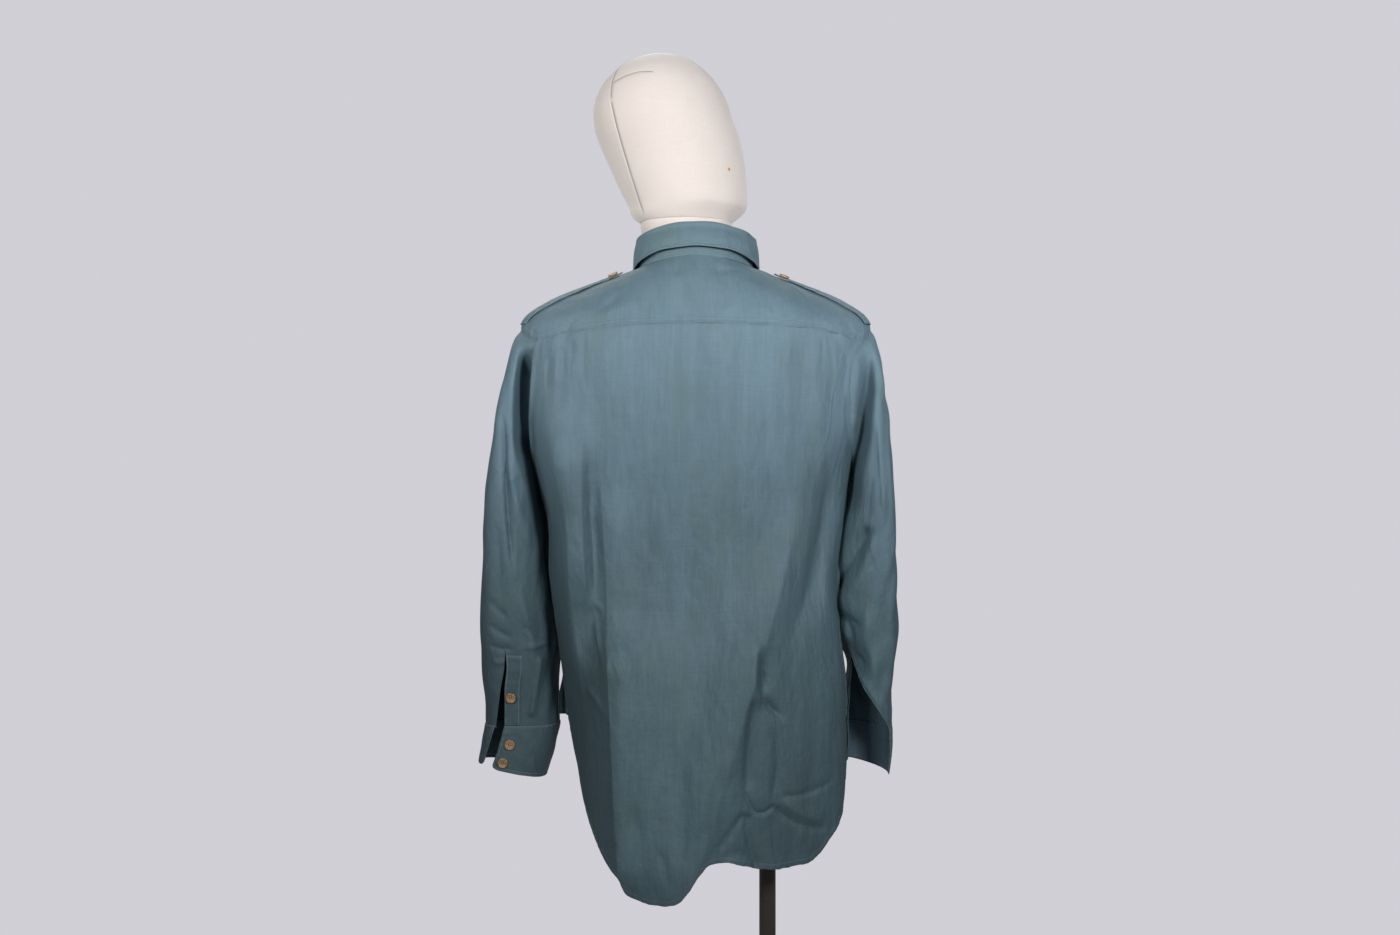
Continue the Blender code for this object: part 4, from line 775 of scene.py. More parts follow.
def sewn(grid, core, rounded=(), doubled=(), stitched=(), roll=0.0007, pucker=0.00035, seed=1):
    """The cloth's face with its edges finished, moved along its normals.

    A rounded edge curves in over its last roll; a doubled one stands out over its turning; each
    stitch row is drawn in, and the cloth between its stitches puckers.
    """
    maps = cut_maps(grid)
    rise = np.zeros(grid.shape[:2])
    for edge in rounded:
        key, side = EDGES[edge]
        inside = np.clip(roll - maps[key][..., side], 0, roll)
        rise -= roll - np.sqrt(roll**2 - inside**2)
    for edge, wide in doubled:
        key, side = EDGES[edge]
        rise += 0.0005 * (1 - eased((maps[key][..., side] - wide + 0.0012) / 0.0024))
    for edge, wide in stitched:
        key, side = EDGES[edge]
        away = np.abs(maps[key][..., side] - wide)
        along = maps[key][..., 1 - side]
        waves = (np.sin(along * 2 * np.pi / 0.0135 + seed) * np.sin(along * 2 * np.pi / 0.047)
                 + 0.7 * np.sin(along * 2 * np.pi / 0.0088 + 2 * seed))
        rise += pucker * waves * np.exp(-((away / 0.009) ** 2))
        rise -= 0.0002 * np.exp(-((away / 0.0016) ** 2))
    return moved_out(grid, core, rise), maps


TINT = (0.80, 0.92, 1.0, 1.0)
WARP_PITCH, WEFT_PITCH = 0.00062, 0.00070


def sateen(name, stitched=(), painted_light_share=0.0):
    """Blue-green sateen, washed soft: fine warp threads of uneven depth, a soft sheen, paler
    streaks down the cloth and cloudy patches, thin creases, painted light that makes it lighter
    toward the top, painted shade below the collar and low at the sides, edges paler from wear and
    from a painted highlight, and rows of stitches in thread of its own colour."""
    cloth = Finish(name, Sheen_Weight=0.06, Sheen_Roughness=0.35, Specular_IOR_Level=0.60,
                   Specular_Tint=TINT, Sheen_Tint=TINT)
    place = cloth.place()
    cut = cloth.flat("cut")
    u = cut.part("X")
    v = cut.part("Y")
    warp = cloth.noise(cut, (900.0, 14.0, 1.0), 3.0, 0.6)
    weft = cloth.noise(cut, (18.0, 800.0, 1.0), 3.0, 0.6)
    streak = cloth.noise(place, (75.0, 75.0, 3.2), 3.0, 0.6)
    slub = cloth.noise(cut, (420.0, 26.0, 1.0), 3.0, 0.7)
    pick = cloth.noise(cut, (20.0, 330.0, 1.0), 3.0, 0.7)
    cloudy = cloth.noise(place, (11.0, 11.0, 6.5), 4.0, 0.6)
    crumple = cloth.noise(place, (70.0, 70.0, 38.0), 4.0, 0.55)
    creased = cloth.noise(place, (10.0, 10.0, 4.5), 1.0, 0.5)
    creased = abs(creased - 0.5).between(0.022, 0.0) * cloudy.between(0.42, 0.60)
    tone = (warp * 0.20 + slub * 0.34 + pick * 0.24 + streak * 0.36 + cloudy * 0.62
            - 0.38).between(0.2, 0.8)
    colour = cloth.blend(tone, (0.045, 0.082, 0.094), (0.082, 0.140, 0.168))
    # Painted light: the cloth is blended toward a lighter tone from z 0.70 up to 1.55, plus the
    # extra share given for the collar and straps, as the lamps light the top more than the tail.
    painted_lit_tone = cloth.blend(tone, (0.078, 0.130, 0.163), (0.114, 0.182, 0.233))
    high = place.part("Z")
    colour = cloth.blend(high.between(0.70, 1.55) * 0.58 + painted_light_share, colour, painted_lit_tone)
    # Painted shade: darker, greener cloth between z 1.425 and 1.49, just below the collar's fall,
    # patchy with the cloudy noise.
    colour = cloth.blend(high.between(1.425, 1.490) * (0.16 + cloudy * 0.24), colour,
                         (0.046, 0.080, 0.084))
    # Painted shade: darker cloth low on the left side (x 0.085 to 0.15, z 1.22 down to 0.94) and in
    # a patch low on the right, where the cloth turns away from the light.
    aside = place.part("X")
    painted_side_shade = aside.between(0.085, 0.150) * high.between(1.22, 0.94) * (0.62 + cloudy * 0.3)
    painted_side_shade = painted_side_shade + (aside.between(-0.035, -0.085) * aside.between(-0.190, -0.150)
                   * high.between(1.06, 0.95) * 0.40)
    colour = cloth.blend(painted_side_shade, colour, (0.030, 0.056, 0.064))
    green = cloth.noise(place, (23.0, 23.0, 10.0), 3.0, 0.6)
    colour = cloth.blend(green.between(0.48, 0.72) * 0.36, colour, (0.070, 0.112, 0.108))
    over = (u * (2 * np.pi / WARP_PITCH)).of("SINE")
    under = (v * (2 * np.pi / WEFT_PITCH)).of("SINE")
    height = (over * under * 0.000018 + warp * 0.00006 + weft * 0.00004
              + slub * 0.00010 + pick * 0.00006 + crumple * 0.00210 + streak * 0.0007
              + creased * 0.00042)
    thread, lighter_marks = None, None
    for edge, wide in stitched:
        key, side = EDGES[edge]
        flat = cloth.flat(key)
        away = flat.part("XY"[side])
        along = flat.part("XY"[1 - side])
        row = abs(away - wide)
        stitch = (along / STITCH_LONG).of("FRACT") - 0.5
        one = row.between(0.00055, 0.00022) * abs(stitch).between(0.46, 0.36)
        thread = one if thread is None else thread.larger(one)
        # Painted highlight and wear: the cloth within 2.2 mm of each stitched edge is marked to be
        # paler.
        edge_wear_and_highlight = away.between(0.0022, 0.0002)
        lighter_marks = edge_wear_and_highlight if lighter_marks is None else lighter_marks.larger(edge_wear_and_highlight)
        height = height - row.between(0.0022, 0.0002) * 0.00022
    if thread is not None:
        # The marked edges are painted paler: partly wear, partly a highlight where the seam edges
        # catch the light.
        colour = cloth.blend(lighter_marks * cloudy * 0.7, colour, (0.130, 0.180, 0.205))
        colour = cloth.blend(thread * 0.70, colour, (0.150, 0.205, 0.225))
        height = height + thread * 0.00030
    return cloth.done(colour, 0.66 - warp * 0.08 + crumple * 0.06, height)


def seam_ridge(inside, z):
    """How far the side seams stand out, by the distance inside their edge and the height."""
    return SEAM_OUT * (1 - eased(inside / 0.006)) * eased((z - 0.84) / 0.06)


def hang(piece, node, finish, thick):
    """Gives a cloth piece its material and its thickness, inward from the outer face, and puts it
    in place of its plain solid, with the size it was cut to."""
    piece.data.materials.append(finish)
    wall = piece.modifiers.new("wall", "SOLIDIFY")
    wall.thickness = thick
    wall.offset = -1.0
    in_place_of(piece, node)


def crowded(count, low, high, bumps):
    """Numbers from low to high, closer together round each (place, how much, half-width)."""
    fine = np.linspace(low, high, round((high - low) * 1000) + 1)
    crowd = sum((more * np.exp(-(((fine - at) / wide) ** 2)) for at, more, wide in bumps), 1.0)
    crowd = np.pad(np.cumsum(crowd)[:-1], (1, 0)) / np.sum(crowd[:-1])
    return np.interp(np.linspace(0, 1, count), crowd, fine)


BACK_COLUMNS, UPPER_ROWS, LOWER_ROWS = 236, 56, 142
columns = crowded(BACK_COLUMNS, -1, 1, ((0.42, 1.8, 0.10), (-0.26, 1.5, 0.10)))
share = np.unique(np.concatenate([columns, spread(2, 0.27) * 2 - 1]))
hem = smooth_rows(HEM, np.interp(share * 90.0, [a for a, _ in HEM], np.arange(len(HEM))))
hem_ring = ring_at_height(hem[:, 1])
top = YOKE_T + (SEAM_T - YOKE_T) * share**2 - LAP / RING_TALL
rows = []
for f in np.linspace(0, 1, UPPER_ROWS):
    ring = top + (UNDERARM_T - top) * f
    level = SEAM_T + (UNDERARM_T - SEAM_T) * f
    edge = np.where(share >= 0, armhole_back(level, 1), armhole_back(level, -1))
    rows.append((share * edge, ring))
levels = crowded(LOWER_ROWS, 0, 1, ((0.84, 1.4, 0.07), (0.45, 0.8, 0.09)))
for f in np.unique(np.append(levels, spread(2, 0.50)[5:]))[1:]:
    rows.append((share * 90.0, UNDERARM_T + f * (hem_ring - UNDERARM_T)))
back_at = np.array(rows)
back_grid = body(back_at[:, 0], back_at[:, 1])
edge = cut_maps(back_grid)
edge = np.minimum(edge["near"][..., 0], edge["far"][..., 0])
back_grid[..., 0] += np.sign(share) * seam_ridge(edge, back_grid[..., 2])
back_core = back_grid * (0, 0, 1)
wave = unevenness(back_grid, 4, 0.050, 0.26, 0.0012) + unevenness(back_grid, 9, 0.018, 0.06, 0.0003)
tuck = TUCK_DEEP * (1 - eased((flat_lengths(back_grid)[1] - LAP + 0.0006) / 0.0022))
back_grid = moved_out(back_grid, back_core, wave - tuck)
back_grid, maps = sewn(back_grid, back_core, rounded=("left", "right", "bottom"),
                       doubled=(("bottom", HEM_TURN),), stitched=(("bottom", HEM_STITCH),))
back = surface("back", back_grid, back_core, maps=maps)
back_stitches = (("bottom", HEM_STITCH), ("left", EDGE_STITCH), ("right", EDGE_STITCH))
hang(back, "back_panel", sateen("back_sateen", back_stitches), WALL)

# ------------------------------------------------------------------ yoke
# One piece over both shoulders, down to a straight seam across the shoulder blades. It is lapped
# over the back and the fronts and held by two rows of stitches.
ARMHOLE_FRONT = ((3.0, 118.0), (3.5, 125.0), (4.0, 128.0), (4.5, 127.0), (5.0, 121.0),
                 (5.5, 109.0), (6.0, 90.0))
YOKE_ROWS = (EDGE_STITCH, 0.0095)      # the two rows of stitches, from the seam
LIFT = 0.0001                          # a lapped edge stands this far over the cloth under it


def armhole_front(ring):
    """Angle of the armhole's front edge."""
    table = np.array(ARMHOLE_FRONT)
    return np.interp(ring, table[:, 0], table[:, 1])


def seam_ring(angle, side_edge):
    """Ring of the yoke's lower edge: dropping outward to the armhole, then up to the shoulder."""
    far = np.abs(angle)
    at_back = YOKE_T + (SEAM_T - YOKE_T) * (far / side_edge) ** 2
    up = SEAM_T + (YOKE_T - SEAM_T) * np.clip((far - side_edge) / (90.0 - side_edge), 0, 1)
    return np.where(far <= side_edge, at_back, up)


front_edge = armhole_front(YOKE_T)
angle = np.concatenate([-front_edge * (1 - spread(110, 0.50, True, False)),
                        front_edge * spread(110, 0.50, False)[1:]])
edge = np.where(angle > 0, armhole_back(SEAM_T, 1), armhole_back(SEAM_T, -1))
drop = np.where(np.abs(angle) < 90, seam_ring(angle, edge) / YOKE_T, 1.0)
down = (YOKE_T * spread(64, 0.16, start=False))[:, None]
yoke_at = down * (1 + (drop - 1) * (down / YOKE_T) ** 2) + 0.012 * eased(down - 2.0)
yoke_grid = body(angle + 0 * yoke_at, yoke_at)
yoke_core = np.array([0.0, 0.0, 1.35])
maps = cut_maps(yoke_grid)
lap = np.minimum(maps["far"][..., 1], np.minimum(maps["near"][..., 0], maps["far"][..., 0]))
raised = LIFT * (1 - eased((lap - 0.010) / 0.008)) + 0.0002
raised -= 0.0006 * (1 - eased((maps["far"][..., 1] - 0.0004) / 0.0030))
raised += unevenness(yoke_grid, 21, 0.045, 0.08, 0.0008)
yoke_grid = moved_out(yoke_grid, yoke_core, raised)
yoke_stitches = tuple(("bottom", row) for row in YOKE_ROWS)
yoke_grid, maps = sewn(yoke_grid, yoke_core, rounded=("left", "right", "bottom"),
                       stitched=yoke_stitches, pucker=0.0004, seed=3)
yoke = surface("yoke_cloth", yoke_grid, yoke_core, maps=maps)
yoke_stitches += (("left", EDGE_STITCH), ("right", EDGE_STITCH))
hang(yoke, "yoke", sateen("yoke_sateen", yoke_stitches), WALL)

# ------------------------------------------------------------------ fronts
# Two panels from the yoke's front seams to a shorter curved hem, open at the side vents. The left
# one's lower corner stands out beyond the back.
VENT_Z = 0.890
FRONT_HEM_DROP = 0.020
CORNER_OUT = 0.011
SHOULDER_SEAM = (3.0, 2.6, 2.0, 1.3, 0.6, 0.0)
NECK_COLUMNS = 4


def front_at(share, ring_rows, low_rows):
    """Angles and rings of a front, rows down and columns from the side to the centre.

    Above the underarm it is the patch between four curves: the shoulder and neck above, the
    armhole and the centre line beside it, and the underarm's level below.
    """
    count = len(SHOULDER_SEAM) + NECK_COLUMNS - 1
    at = share * count
    shoulder = len(SHOULDER_SEAM) - 1
    top_ring = np.interp(at, np.arange(shoulder + 1), SHOULDER_SEAM)
    reach = LAP * (1 - eased(at - shoulder + 1))
    slope = np.degrees(reach / smooth_rows(RINGS, top_ring)[:, 0])
    top_angle = np.interp(at, (0, shoulder, count), (front_edge, front_edge + 0.3, 180.0)) - slope
    v = ((ring_rows - YOKE_T) / (UNDERARM_T - YOKE_T))[:, None]
    low_angle = 90.0 + 90.0 * share
    corners = ((1 - share) * ((1 - v) * top_angle[0] + v * 90.0) + share * 180.0,
               (1 - share) * ((1 - v) * YOKE_T + v * UNDERARM_T) + share * v * UNDERARM_T)
    side = armhole_front(ring_rows)[:, None] + (top_angle[0] - front_edge) * (1 - v)
    angle = (1 - v) * top_angle + v * low_angle + (1 - share) * side + share * 180.0 - corners[0]
    ring = ((1 - v) * top_ring + v * UNDERARM_T + (1 - share) * ring_rows[:, None]
            + share * v * UNDERARM_T - corners[1])
    hem_ring = ring_at_height(VENT_Z - FRONT_HEM_DROP * np.sin(share * np.pi / 2))
    low_ring = UNDERARM_T + low_rows[:, None] * (hem_ring - UNDERARM_T)
    return (np.concatenate([angle, low_angle + 0 * low_ring]),
            np.concatenate([ring, low_ring]))


share = spread(100, 0.27)
ring_rows = np.linspace(YOKE_T, UNDERARM_T, 70)
low_rows = spread(92, 0.35, start=False)[1:]
front_angle, front_ring = front_at(share, ring_rows, low_rows)
front_stitches = (("bottom", HEM_STITCH),)
SIDES = {"left": 1, "right": -1}
FRONT_SEED = {"left": 31, "right": 37}
for word, side in SIDES.items():
    grid = body(side * front_angle, front_ring)
    core = grid * (0, 0, 1) - (0, 0, 0.02)
    normal = normals(grid, core)
    across, down = flat_lengths(grid)
    tuck = TUCK_DEEP * (1 - eased((down - LAP) / 0.004)) * (share < 0.58)
    wave = unevenness(grid, FRONT_SEED[word], 0.048, 0.22, 0.0012)
    grid[..., 0] += side * seam_ridge(across, grid[..., 2])
    grid += normal * (wave * eased((1.02 - share) / 0.1) - tuck)[..., None]
    if side > 0:
        near = np.clip(1 - share * 3.0, 0, 1) ** 1.5
        grid[..., 0] += CORNER_OUT * eased((0.955 - grid[..., 2]) / 0.05) * near
    grid[:, -1, 0] = side * 0.0004
    grid, maps = sewn(grid, core, rounded=("left", "bottom"), doubled=(("bottom", HEM_TURN),),
                      stitched=front_stitches, seed=FRONT_SEED[word])
    front = surface("front_cloth_" + word, grid, core, maps=maps)
    hang(front, "front_" + word, sateen("front_sateen_" + word, front_stitches), WALL)

# Front placket: a doubled strip down the left front's edge, stitched along both sides, that the
# buttons close.
PLACKET_HALF = 0.017
PLACKET_LIFT = 0.0021
PLACKET_TOP = 0.05       # ring, just below the neck seam
TWO_LAYERS = 0.0014      # pressed flat

lowest = front_ring[-1, -1]
ring = (PLACKET_TOP + (lowest - PLACKET_TOP) * spread(170, 0.55))[:, None]
aside = np.linspace(-1, 1, 25)
aside = np.unique(np.concatenate([aside, -1 + 2 * spread(2, 2 * PLACKET_HALF)]))
wide = angle_at_width(ring, PLACKET_HALF * np.abs(aside), 1)
angle = 180.0 - np.sign(aside) * wide
placket_grid = outward(body, angle, ring + 0 * angle, np.full(angle.shape, PLACKET_LIFT))
placket_grid[..., 0] = PLACKET_HALF * aside
placket_core = placket_grid * (0, 0, 1)
BAND_STITCH = 0.0050      # on doubled bands, from their edges
placket_stitches = (("left", BAND_STITCH), ("right", BAND_STITCH), ("bottom", HEM_STITCH))
placket_grid, maps = sewn(placket_grid, placket_core, rounded=("left", "right", "top", "bottom"),
                          stitched=placket_stitches, pucker=0.0004, roll=0.0010, seed=5)
placket = surface("front_placket_cloth", placket_grid, placket_core, maps=maps)
hang(placket, "front_placket", sateen("placket_sateen", placket_stitches), TWO_LAYERS)

# ------------------------------------------------------------------ collar
# A stand round the neck and a pointed fall that rolls over it. Both are doubled cloth; the fall's
# edge is turned, pressed and stitched.
STAND_H = 0.040
STAND_UNDER = 0.05       # share of its height that is sewn in below the neck seam
# The fall's lower edge: angle from the centre back, distance out from the neck seam, height.
FALL = ((0, 0.0052, 1.5335), (35, 0.0064, 1.5290), (65, 0.0076, 1.5165), (90, 0.0084, 1.5055),
        (115, 0.0150, 1.4970), (135, 0.0215, 1.4720), (150, 0.0290, 1.4400), (158, 0.0330, 1.4140))
STAND_END, FALL_TOP_END = 178.5, 172.0       # angles where they stop at the front
# The roll over the stand's top edge: steps outward and upward.
FALL_ROLL = ((-0.0022, -0.0050), (-0.0016, 0.0014), (0.0008, 0.0036), (0.0034, 0.0016),
             (0.0042, -0.0040))


def stand_point(angle, up):
    """Up the stand: up is 0 at the neck seam and 1 at its top edge, which leans to the neck."""
    c = np.cos(np.radians(angle))
    height = STAND_H * (1.0 - 0.10 * (1 - c) / 2)
    x, y, z = np.moveaxis(ring_surface(angle, 0.0), -1, 0)
    z = z + 0.0008 + 0.0012 * (c < 0) * c**2 + up * (height + 0.002 * (c > 0) * c)
    y = y - up * np.where(c > 0, 0.007, -0.005) * np.abs(c)
    return np.stack([x * (1.0 + 0.01 * up), y, z], -1)


def facing(angle):
    """Level direction at an angle from the centre back."""
    turn = np.radians(angle)
    return np.stack([np.sin(turn), np.cos(turn), 0 * turn], -1)


collar_core = np.array([0.0, 0.0, 1.48])
angle = -STAND_END + 2 * STAND_END * spread(190, 0.52)
up = -STAND_UNDER + (1 + STAND_UNDER) * spread(30, 0.042, start=False)
stand_grid = stand_point(angle, up[:, None])
flare = 0.0009 * (1 - eased((up + STAND_UNDER) / 0.25))
stand_grid += facing(angle) * flare[:, None, None]
stand_stitches = (("top", 0.0018),)
stand_grid, maps = sewn(stand_grid, collar_core, rounded=("left", "right", "top"),
                        stitched=stand_stitches, seed=7)
stand = surface("collar_stand_cloth", stand_grid, collar_core, maps=maps)
hang(stand, "collar_stand", sateen("collar_stand_sateen", stand_stitches, painted_light_share=0.1), WALL)

share = spread(190, 0.50)
angle = -FALL_TOP_END + 2 * FALL_TOP_END * share
low_angle = angle * FALL[-1][0] / FALL_TOP_END
table = np.array(FALL)
out, low_z = (np.interp(np.abs(low_angle), table[:, 0], table[:, k]) for k in (1, 2))
smooth = np.hanning(13) / np.hanning(13).sum()
out, low_z = (np.convolve(np.pad(row, 6, "edge"), smooth, "valid") for row in (out, low_z))
low_edge = ring_surface(low_angle, 0.0) + facing(low_angle) * out[:, None]
low_edge[:, 2] = low_z
top_edge = stand_point(angle, 1.0)
rows = [top_edge + facing(angle) * by_out + (0, 0, by_up) for by_out, by_up in FALL_ROLL]
for f in (0.25, 0.5, 0.75, 1.0):
    bulge = facing(low_angle) * 0.0020 * np.sin(np.pi * f)
    rows.append(rows[4] + (low_edge - rows[4]) * f + bulge)
rows = np.array(rows)
fall_grid = smooth_rows(rows, (len(rows) - 1) * spread(64, 0.055, start=False))
down_to_edge = cut_maps(fall_grid)["far"][..., 1]
piped = 0.0006 * (1 - eased((down_to_edge - 0.0022) / 0.0012))
soft = unevenness(fall_grid, 15, 0.045, 0.10, 0.0007) * eased(down_to_edge / 0.030)
fall_grid = moved_out(fall_grid, collar_core, piped + soft)
fall_stitches = (("bottom", 0.0048), ("left", 0.0060), ("right", 0.0060))
fall_grid, maps = sewn(fall_grid, collar_core, rounded=("left", "right", "bottom"),
                       stitched=fall_stitches, pucker=0.0003, seed=11)
fall = surface("collar_fall_cloth", fall_grid, collar_core, maps=maps)
hang(fall, "collar_fall", sateen("collar_fall_sateen", fall_stitches, painted_light_share=0.1), TWO_LAYERS)

# ------------------------------------------------------------------ sleeves
# Two long sleeves set under the body's armhole edges, hanging flat from front to back, each slit
# above its cuff. The left slit is at the back; the right one gapes from the body side outward.
# Sections down the arm: the outer and inner edge, the middle and half depth, how far the section
# leans (degrees), and the angles where the cloth starts and ends.
LEFT_SLEEVE = (
    # outer_x outer_z inner_x inner_z    y   half_y curl edge_a edge_b
    (0.2530, 1.4160, 0.2260, 1.2320, -0.003, 0.064, 0, 0, -360),
    (0.2620, 1.3800, 0.2225, 1.2160, -0.004, 0.070, 4, 0, -360),
    (0.2700, 1.3230, 0.2165, 1.1950, -0.006, 0.076, 9, 0, -360),
    (0.2745, 1.2620, 0.2090, 1.1700, -0.010, 0.080, 16, 0, -360),
    (0.2795, 1.2080, 0.2068, 1.1450, -0.011, 0.080, 18, 0, -360),
    (0.2840, 1.1600, 0.2058, 1.1180, -0.012, 0.076, 18, 0, -360),
    (0.2880, 1.1120, 0.2048, 1.0850, -0.014, 0.072, 18, 2, -358),
    (0.2930, 1.0620, 0.2015, 1.0480, -0.016, 0.066, 16, 4, -356),
    (0.2980, 1.0180, 0.1955, 1.0100, -0.018, 0.060, 14, 6, -354),
    (0.2985, 0.9870, 0.1935, 0.9820, -0.018, 0.056, 12, 7, -353),
    (0.2980, 0.9600, 0.1950, 0.9560, -0.018, 0.052, 10, 8, -349),
    (0.2975, 0.9300, 0.1960, 0.9280, -0.018, 0.048, 8, 14, -340),
    (0.2960, 0.9000, 0.1950, 0.9000, -0.018, 0.044, 6, 18, -331),
    (0.2960, 0.8780, 0.1940, 0.8780, -0.018, 0.042, 5, 20, -326),
    (0.2950, 0.8740, 0.1955, 0.8740, -0.018, 0.0405, 5, 20, -326),
)
LEFT_CUFF = (
    (0.2965, 0.8773, 0.1936, 0.8773, -0.018, 0.0423, 5, 20, -325),
    (0.3020, 0.8450, 0.2020, 0.8390, -0.018, 0.044, 4, 24, -318),
    (0.3060, 0.8230, 0.2125, 0.8030, -0.018, 0.045, 3, 29, -312),
)
RIGHT_SLEEVE = (
    (0.2480, 1.4160, 0.2155, 1.2320, -0.003, 0.064, 0, -20, 340),
    (0.2545, 1.3800, 0.2135, 1.2160, -0.004, 0.070, 4, -30, 330),
    (0.2570, 1.3230, 0.2115, 1.1950, -0.006, 0.076, 9, -40, 320),
    (0.2595, 1.2620, 0.2070, 1.1700, -0.008, 0.080, 13, -48, 312),
    (0.2610, 1.2080, 0.2048, 1.1450, -0.010, 0.080, 16, -55, 305),
    (0.2620, 1.1600, 0.2018, 1.1180, -0.012, 0.076, 18, -60, 300),
    (0.2650, 1.1120, 0.1995, 1.0850, -0.014, 0.072, 18, -65, 295),
    (0.2705, 1.0620, 0.1990, 1.0480, -0.016, 0.066, 16, -70, 290),
    (0.2755, 1.0180, 0.1990, 1.0100, -0.018, 0.060, 14, -75, 285),
    (0.2750, 0.9870, 0.2075, 0.9820, -0.018, 0.056, 12, -78, 282),
    (0.2725, 0.9600, 0.2165, 0.9560, -0.018, 0.053, 10, -64, 281),
    (0.2710, 0.9300, 0.2125, 0.9280, -0.018, 0.050, 8, -32, 282),
    (0.2715, 0.9000, 0.2100, 0.9000, -0.018, 0.047, 6, 8, 283),
    (0.2725, 0.8720, 0.2103, 0.8780, -0.018, 0.045, 5, 44, 284),
    (0.2715, 0.8680, 0.2113, 0.8740, -0.018, 0.0435, 5, 44, 284),
)
RIGHT_CUFF = (
    (0.2727, 0.8713, 0.2102, 0.8773, -0.018, 0.0452, 5, 44, 284),
    (0.2720, 0.8380, 0.2103, 0.8480, -0.018, 0.046, 4, 50, 285),
    (0.2690, 0.8060, 0.2098, 0.8230, -0.018, 0.046, 3, 56, 286),
)
# Folds on a sleeve's back half, seen from behind (x outward from the centre line).
LEFT_SLEEVE_FOLDS = (
    (0.2653, 1.3164, 0.2584, 1.2042, 0.2502, 1.0839, 0.0030, 0.0040, -0.0090, 1.3, 1.4, 0.20),
    (0.2570, 1.2726, 0.2475, 1.1905, 0.2283, 1.1085, 0.0060, 0.0090, 0.0060, 2.0, 1.6, 0.25),
    (0.2735, 1.1632, 0.2694, 1.1085, 0.2735, 1.0538, 0.0040, 0.0050, -0.0025, 1.5, 1.5, 0.30),
    (0.2748, 1.3957, 0.2707, 1.3273, 0.2735, 1.2453, 0.0060, 0.0070, 0.0030, 2.0, 2.0, 0.30),
    (0.2434, 1.0674, 0.2311, 0.9991, 0.2242, 0.9307, 0.0050, 0.0090, 0.0035, 1.8, 1.8, 0.30),
    (0.2174, 0.9785, 0.2242, 0.9334, 0.2324, 0.8869, 0.0025, 0.0070, 0.0050, 1.2, 1.6, 0.12),
    (0.2037, 1.0538, 0.1996, 0.9854, 0.2051, 0.9170, 0.0070, 0.0070, -0.0040, 1.8, 1.8, 0.30),
    (0.2858, 1.0565, 0.2735, 1.0387, 0.2584, 1.0264, 0.0030, 0.0050, -0.0025, 1.5, 1.5, 0.30),
    (0.2885, 1.0209, 0.2721, 1.0086, 0.2516, 0.9991, 0.0030, 0.0050, -0.0025, 1.5, 1.5, 0.30),
    (0.2885, 0.9909, 0.2707, 0.9854, 0.2529, 0.9854, 0.0030, 0.0050, -0.0025, 1.5, 1.5, 0.30),
    (0.2447, 1.0182, 0.2174, 1.0032, 0.1928, 0.9826, 0.0030, 0.0050, -0.0025, 1.5, 1.5, 0.30),
    (0.2420, 0.9881, 0.2201, 0.9881, 0.1969, 0.9991, 0.0030, 0.0060, 0.0022, 1.6, 1.6, 0.30),
    (0.2830, 0.9717, 0.2735, 0.9662, 0.2584, 0.9690, 0.0030, 0.0040, 0.0020, 1.6, 1.6, 0.30),
    (0.2461, 0.9553, 0.2488, 0.9238, 0.2543, 0.8951, 0.0050, 0.0060, -0.0022, 1.8, 1.8, 0.30),
)
RIGHT_SLEEVE_FOLDS = (
    (0.2449, 1.3068, 0.2490, 1.2316, 0.2545, 1.1632, 0.0070, 0.0030, 0.0050, 1.8, 1.2, 0.20),
    (0.2340, 1.1577, 0.2148, 1.1126, 0.1930, 1.0497, 0.0090, 0.0030, -0.0100, 1.6, 1.3, 0.18),
    (0.2449, 1.1522, 0.2313, 1.1016, 0.2121, 1.0401, 0.0080, 0.0060, 0.0040, 1.8, 1.8, 0.30),
    (0.2422, 1.1140, 0.2395, 1.1030, 0.2340, 1.0921, 0.0030, 0.0030, -0.0020, 1.4, 1.4, 0.30),
    (0.1971, 1.0442, 0.2094, 1.0278, 0.2258, 1.0155, 0.0030, 0.0040, -0.0035, 1.4, 1.4, 0.25),
    (0.1984, 1.0346, 0.2121, 1.0114, 0.2189, 0.9785, 0.0030, 0.0040, -0.0050, 1.3, 1.3, 0.25),
    (0.2066, 0.9991, 0.2176, 0.9785, 0.2340, 0.9608, 0.0030, 0.0040, -0.0025, 1.4, 1.4, 0.25),
    (0.2313, 1.0538, 0.2367, 0.9991, 0.2504, 0.9307, 0.0060, 0.0080, 0.0030, 1.8, 1.8, 0.30),
    (0.2559, 1.1085, 0.2600, 1.0401, 0.2559, 0.9717, 0.0050, 0.0060, -0.0025, 1.8, 1.8, 0.30),
    (0.2258, 0.9553, 0.2395, 0.9252, 0.2559, 0.9006, 0.0040, 0.0050, 0.0022, 1.6, 1.6, 0.30),
    (0.2395, 1.2316, 0.2340, 1.1905, 0.2313, 1.1605, 0.0040, 0.0050, -0.0025, 1.6, 1.6, 0.30),
    (0.2110, 1.1850, 0.2070, 1.1000, 0.2040, 1.0100, 0.0140, 0.0140, 0.0100, 2.0, 2.0, 0.25),
)
# Deep tucks between each sleeve and the body, where the cloth goes in under the arm.
LEFT_TUCKS = (
    (0.2300, 1.4050, 0.2385, 1.3150, 0.2330, 1.2350, 0.0095, 0.0140, -0.0520, 5.0, 4.0, 0.24),
    (0.2380, 1.2900, 0.2120, 1.1650, 0.1940, 1.0400, 0.0110, 0.0220, -0.0520, 5.0, 4.0, 0.22),
)
RIGHT_TUCKS = (
    (0.2310, 1.4100, 0.2280, 1.3000, 0.2060, 1.1700, 0.0075, 0.0120, -0.0340, 2.6, 2.2, 0.30),
)


ARMHOLE_REACH, ARMHOLE_RING = 0.23, 0.05    # metres from the middle, metres a ring


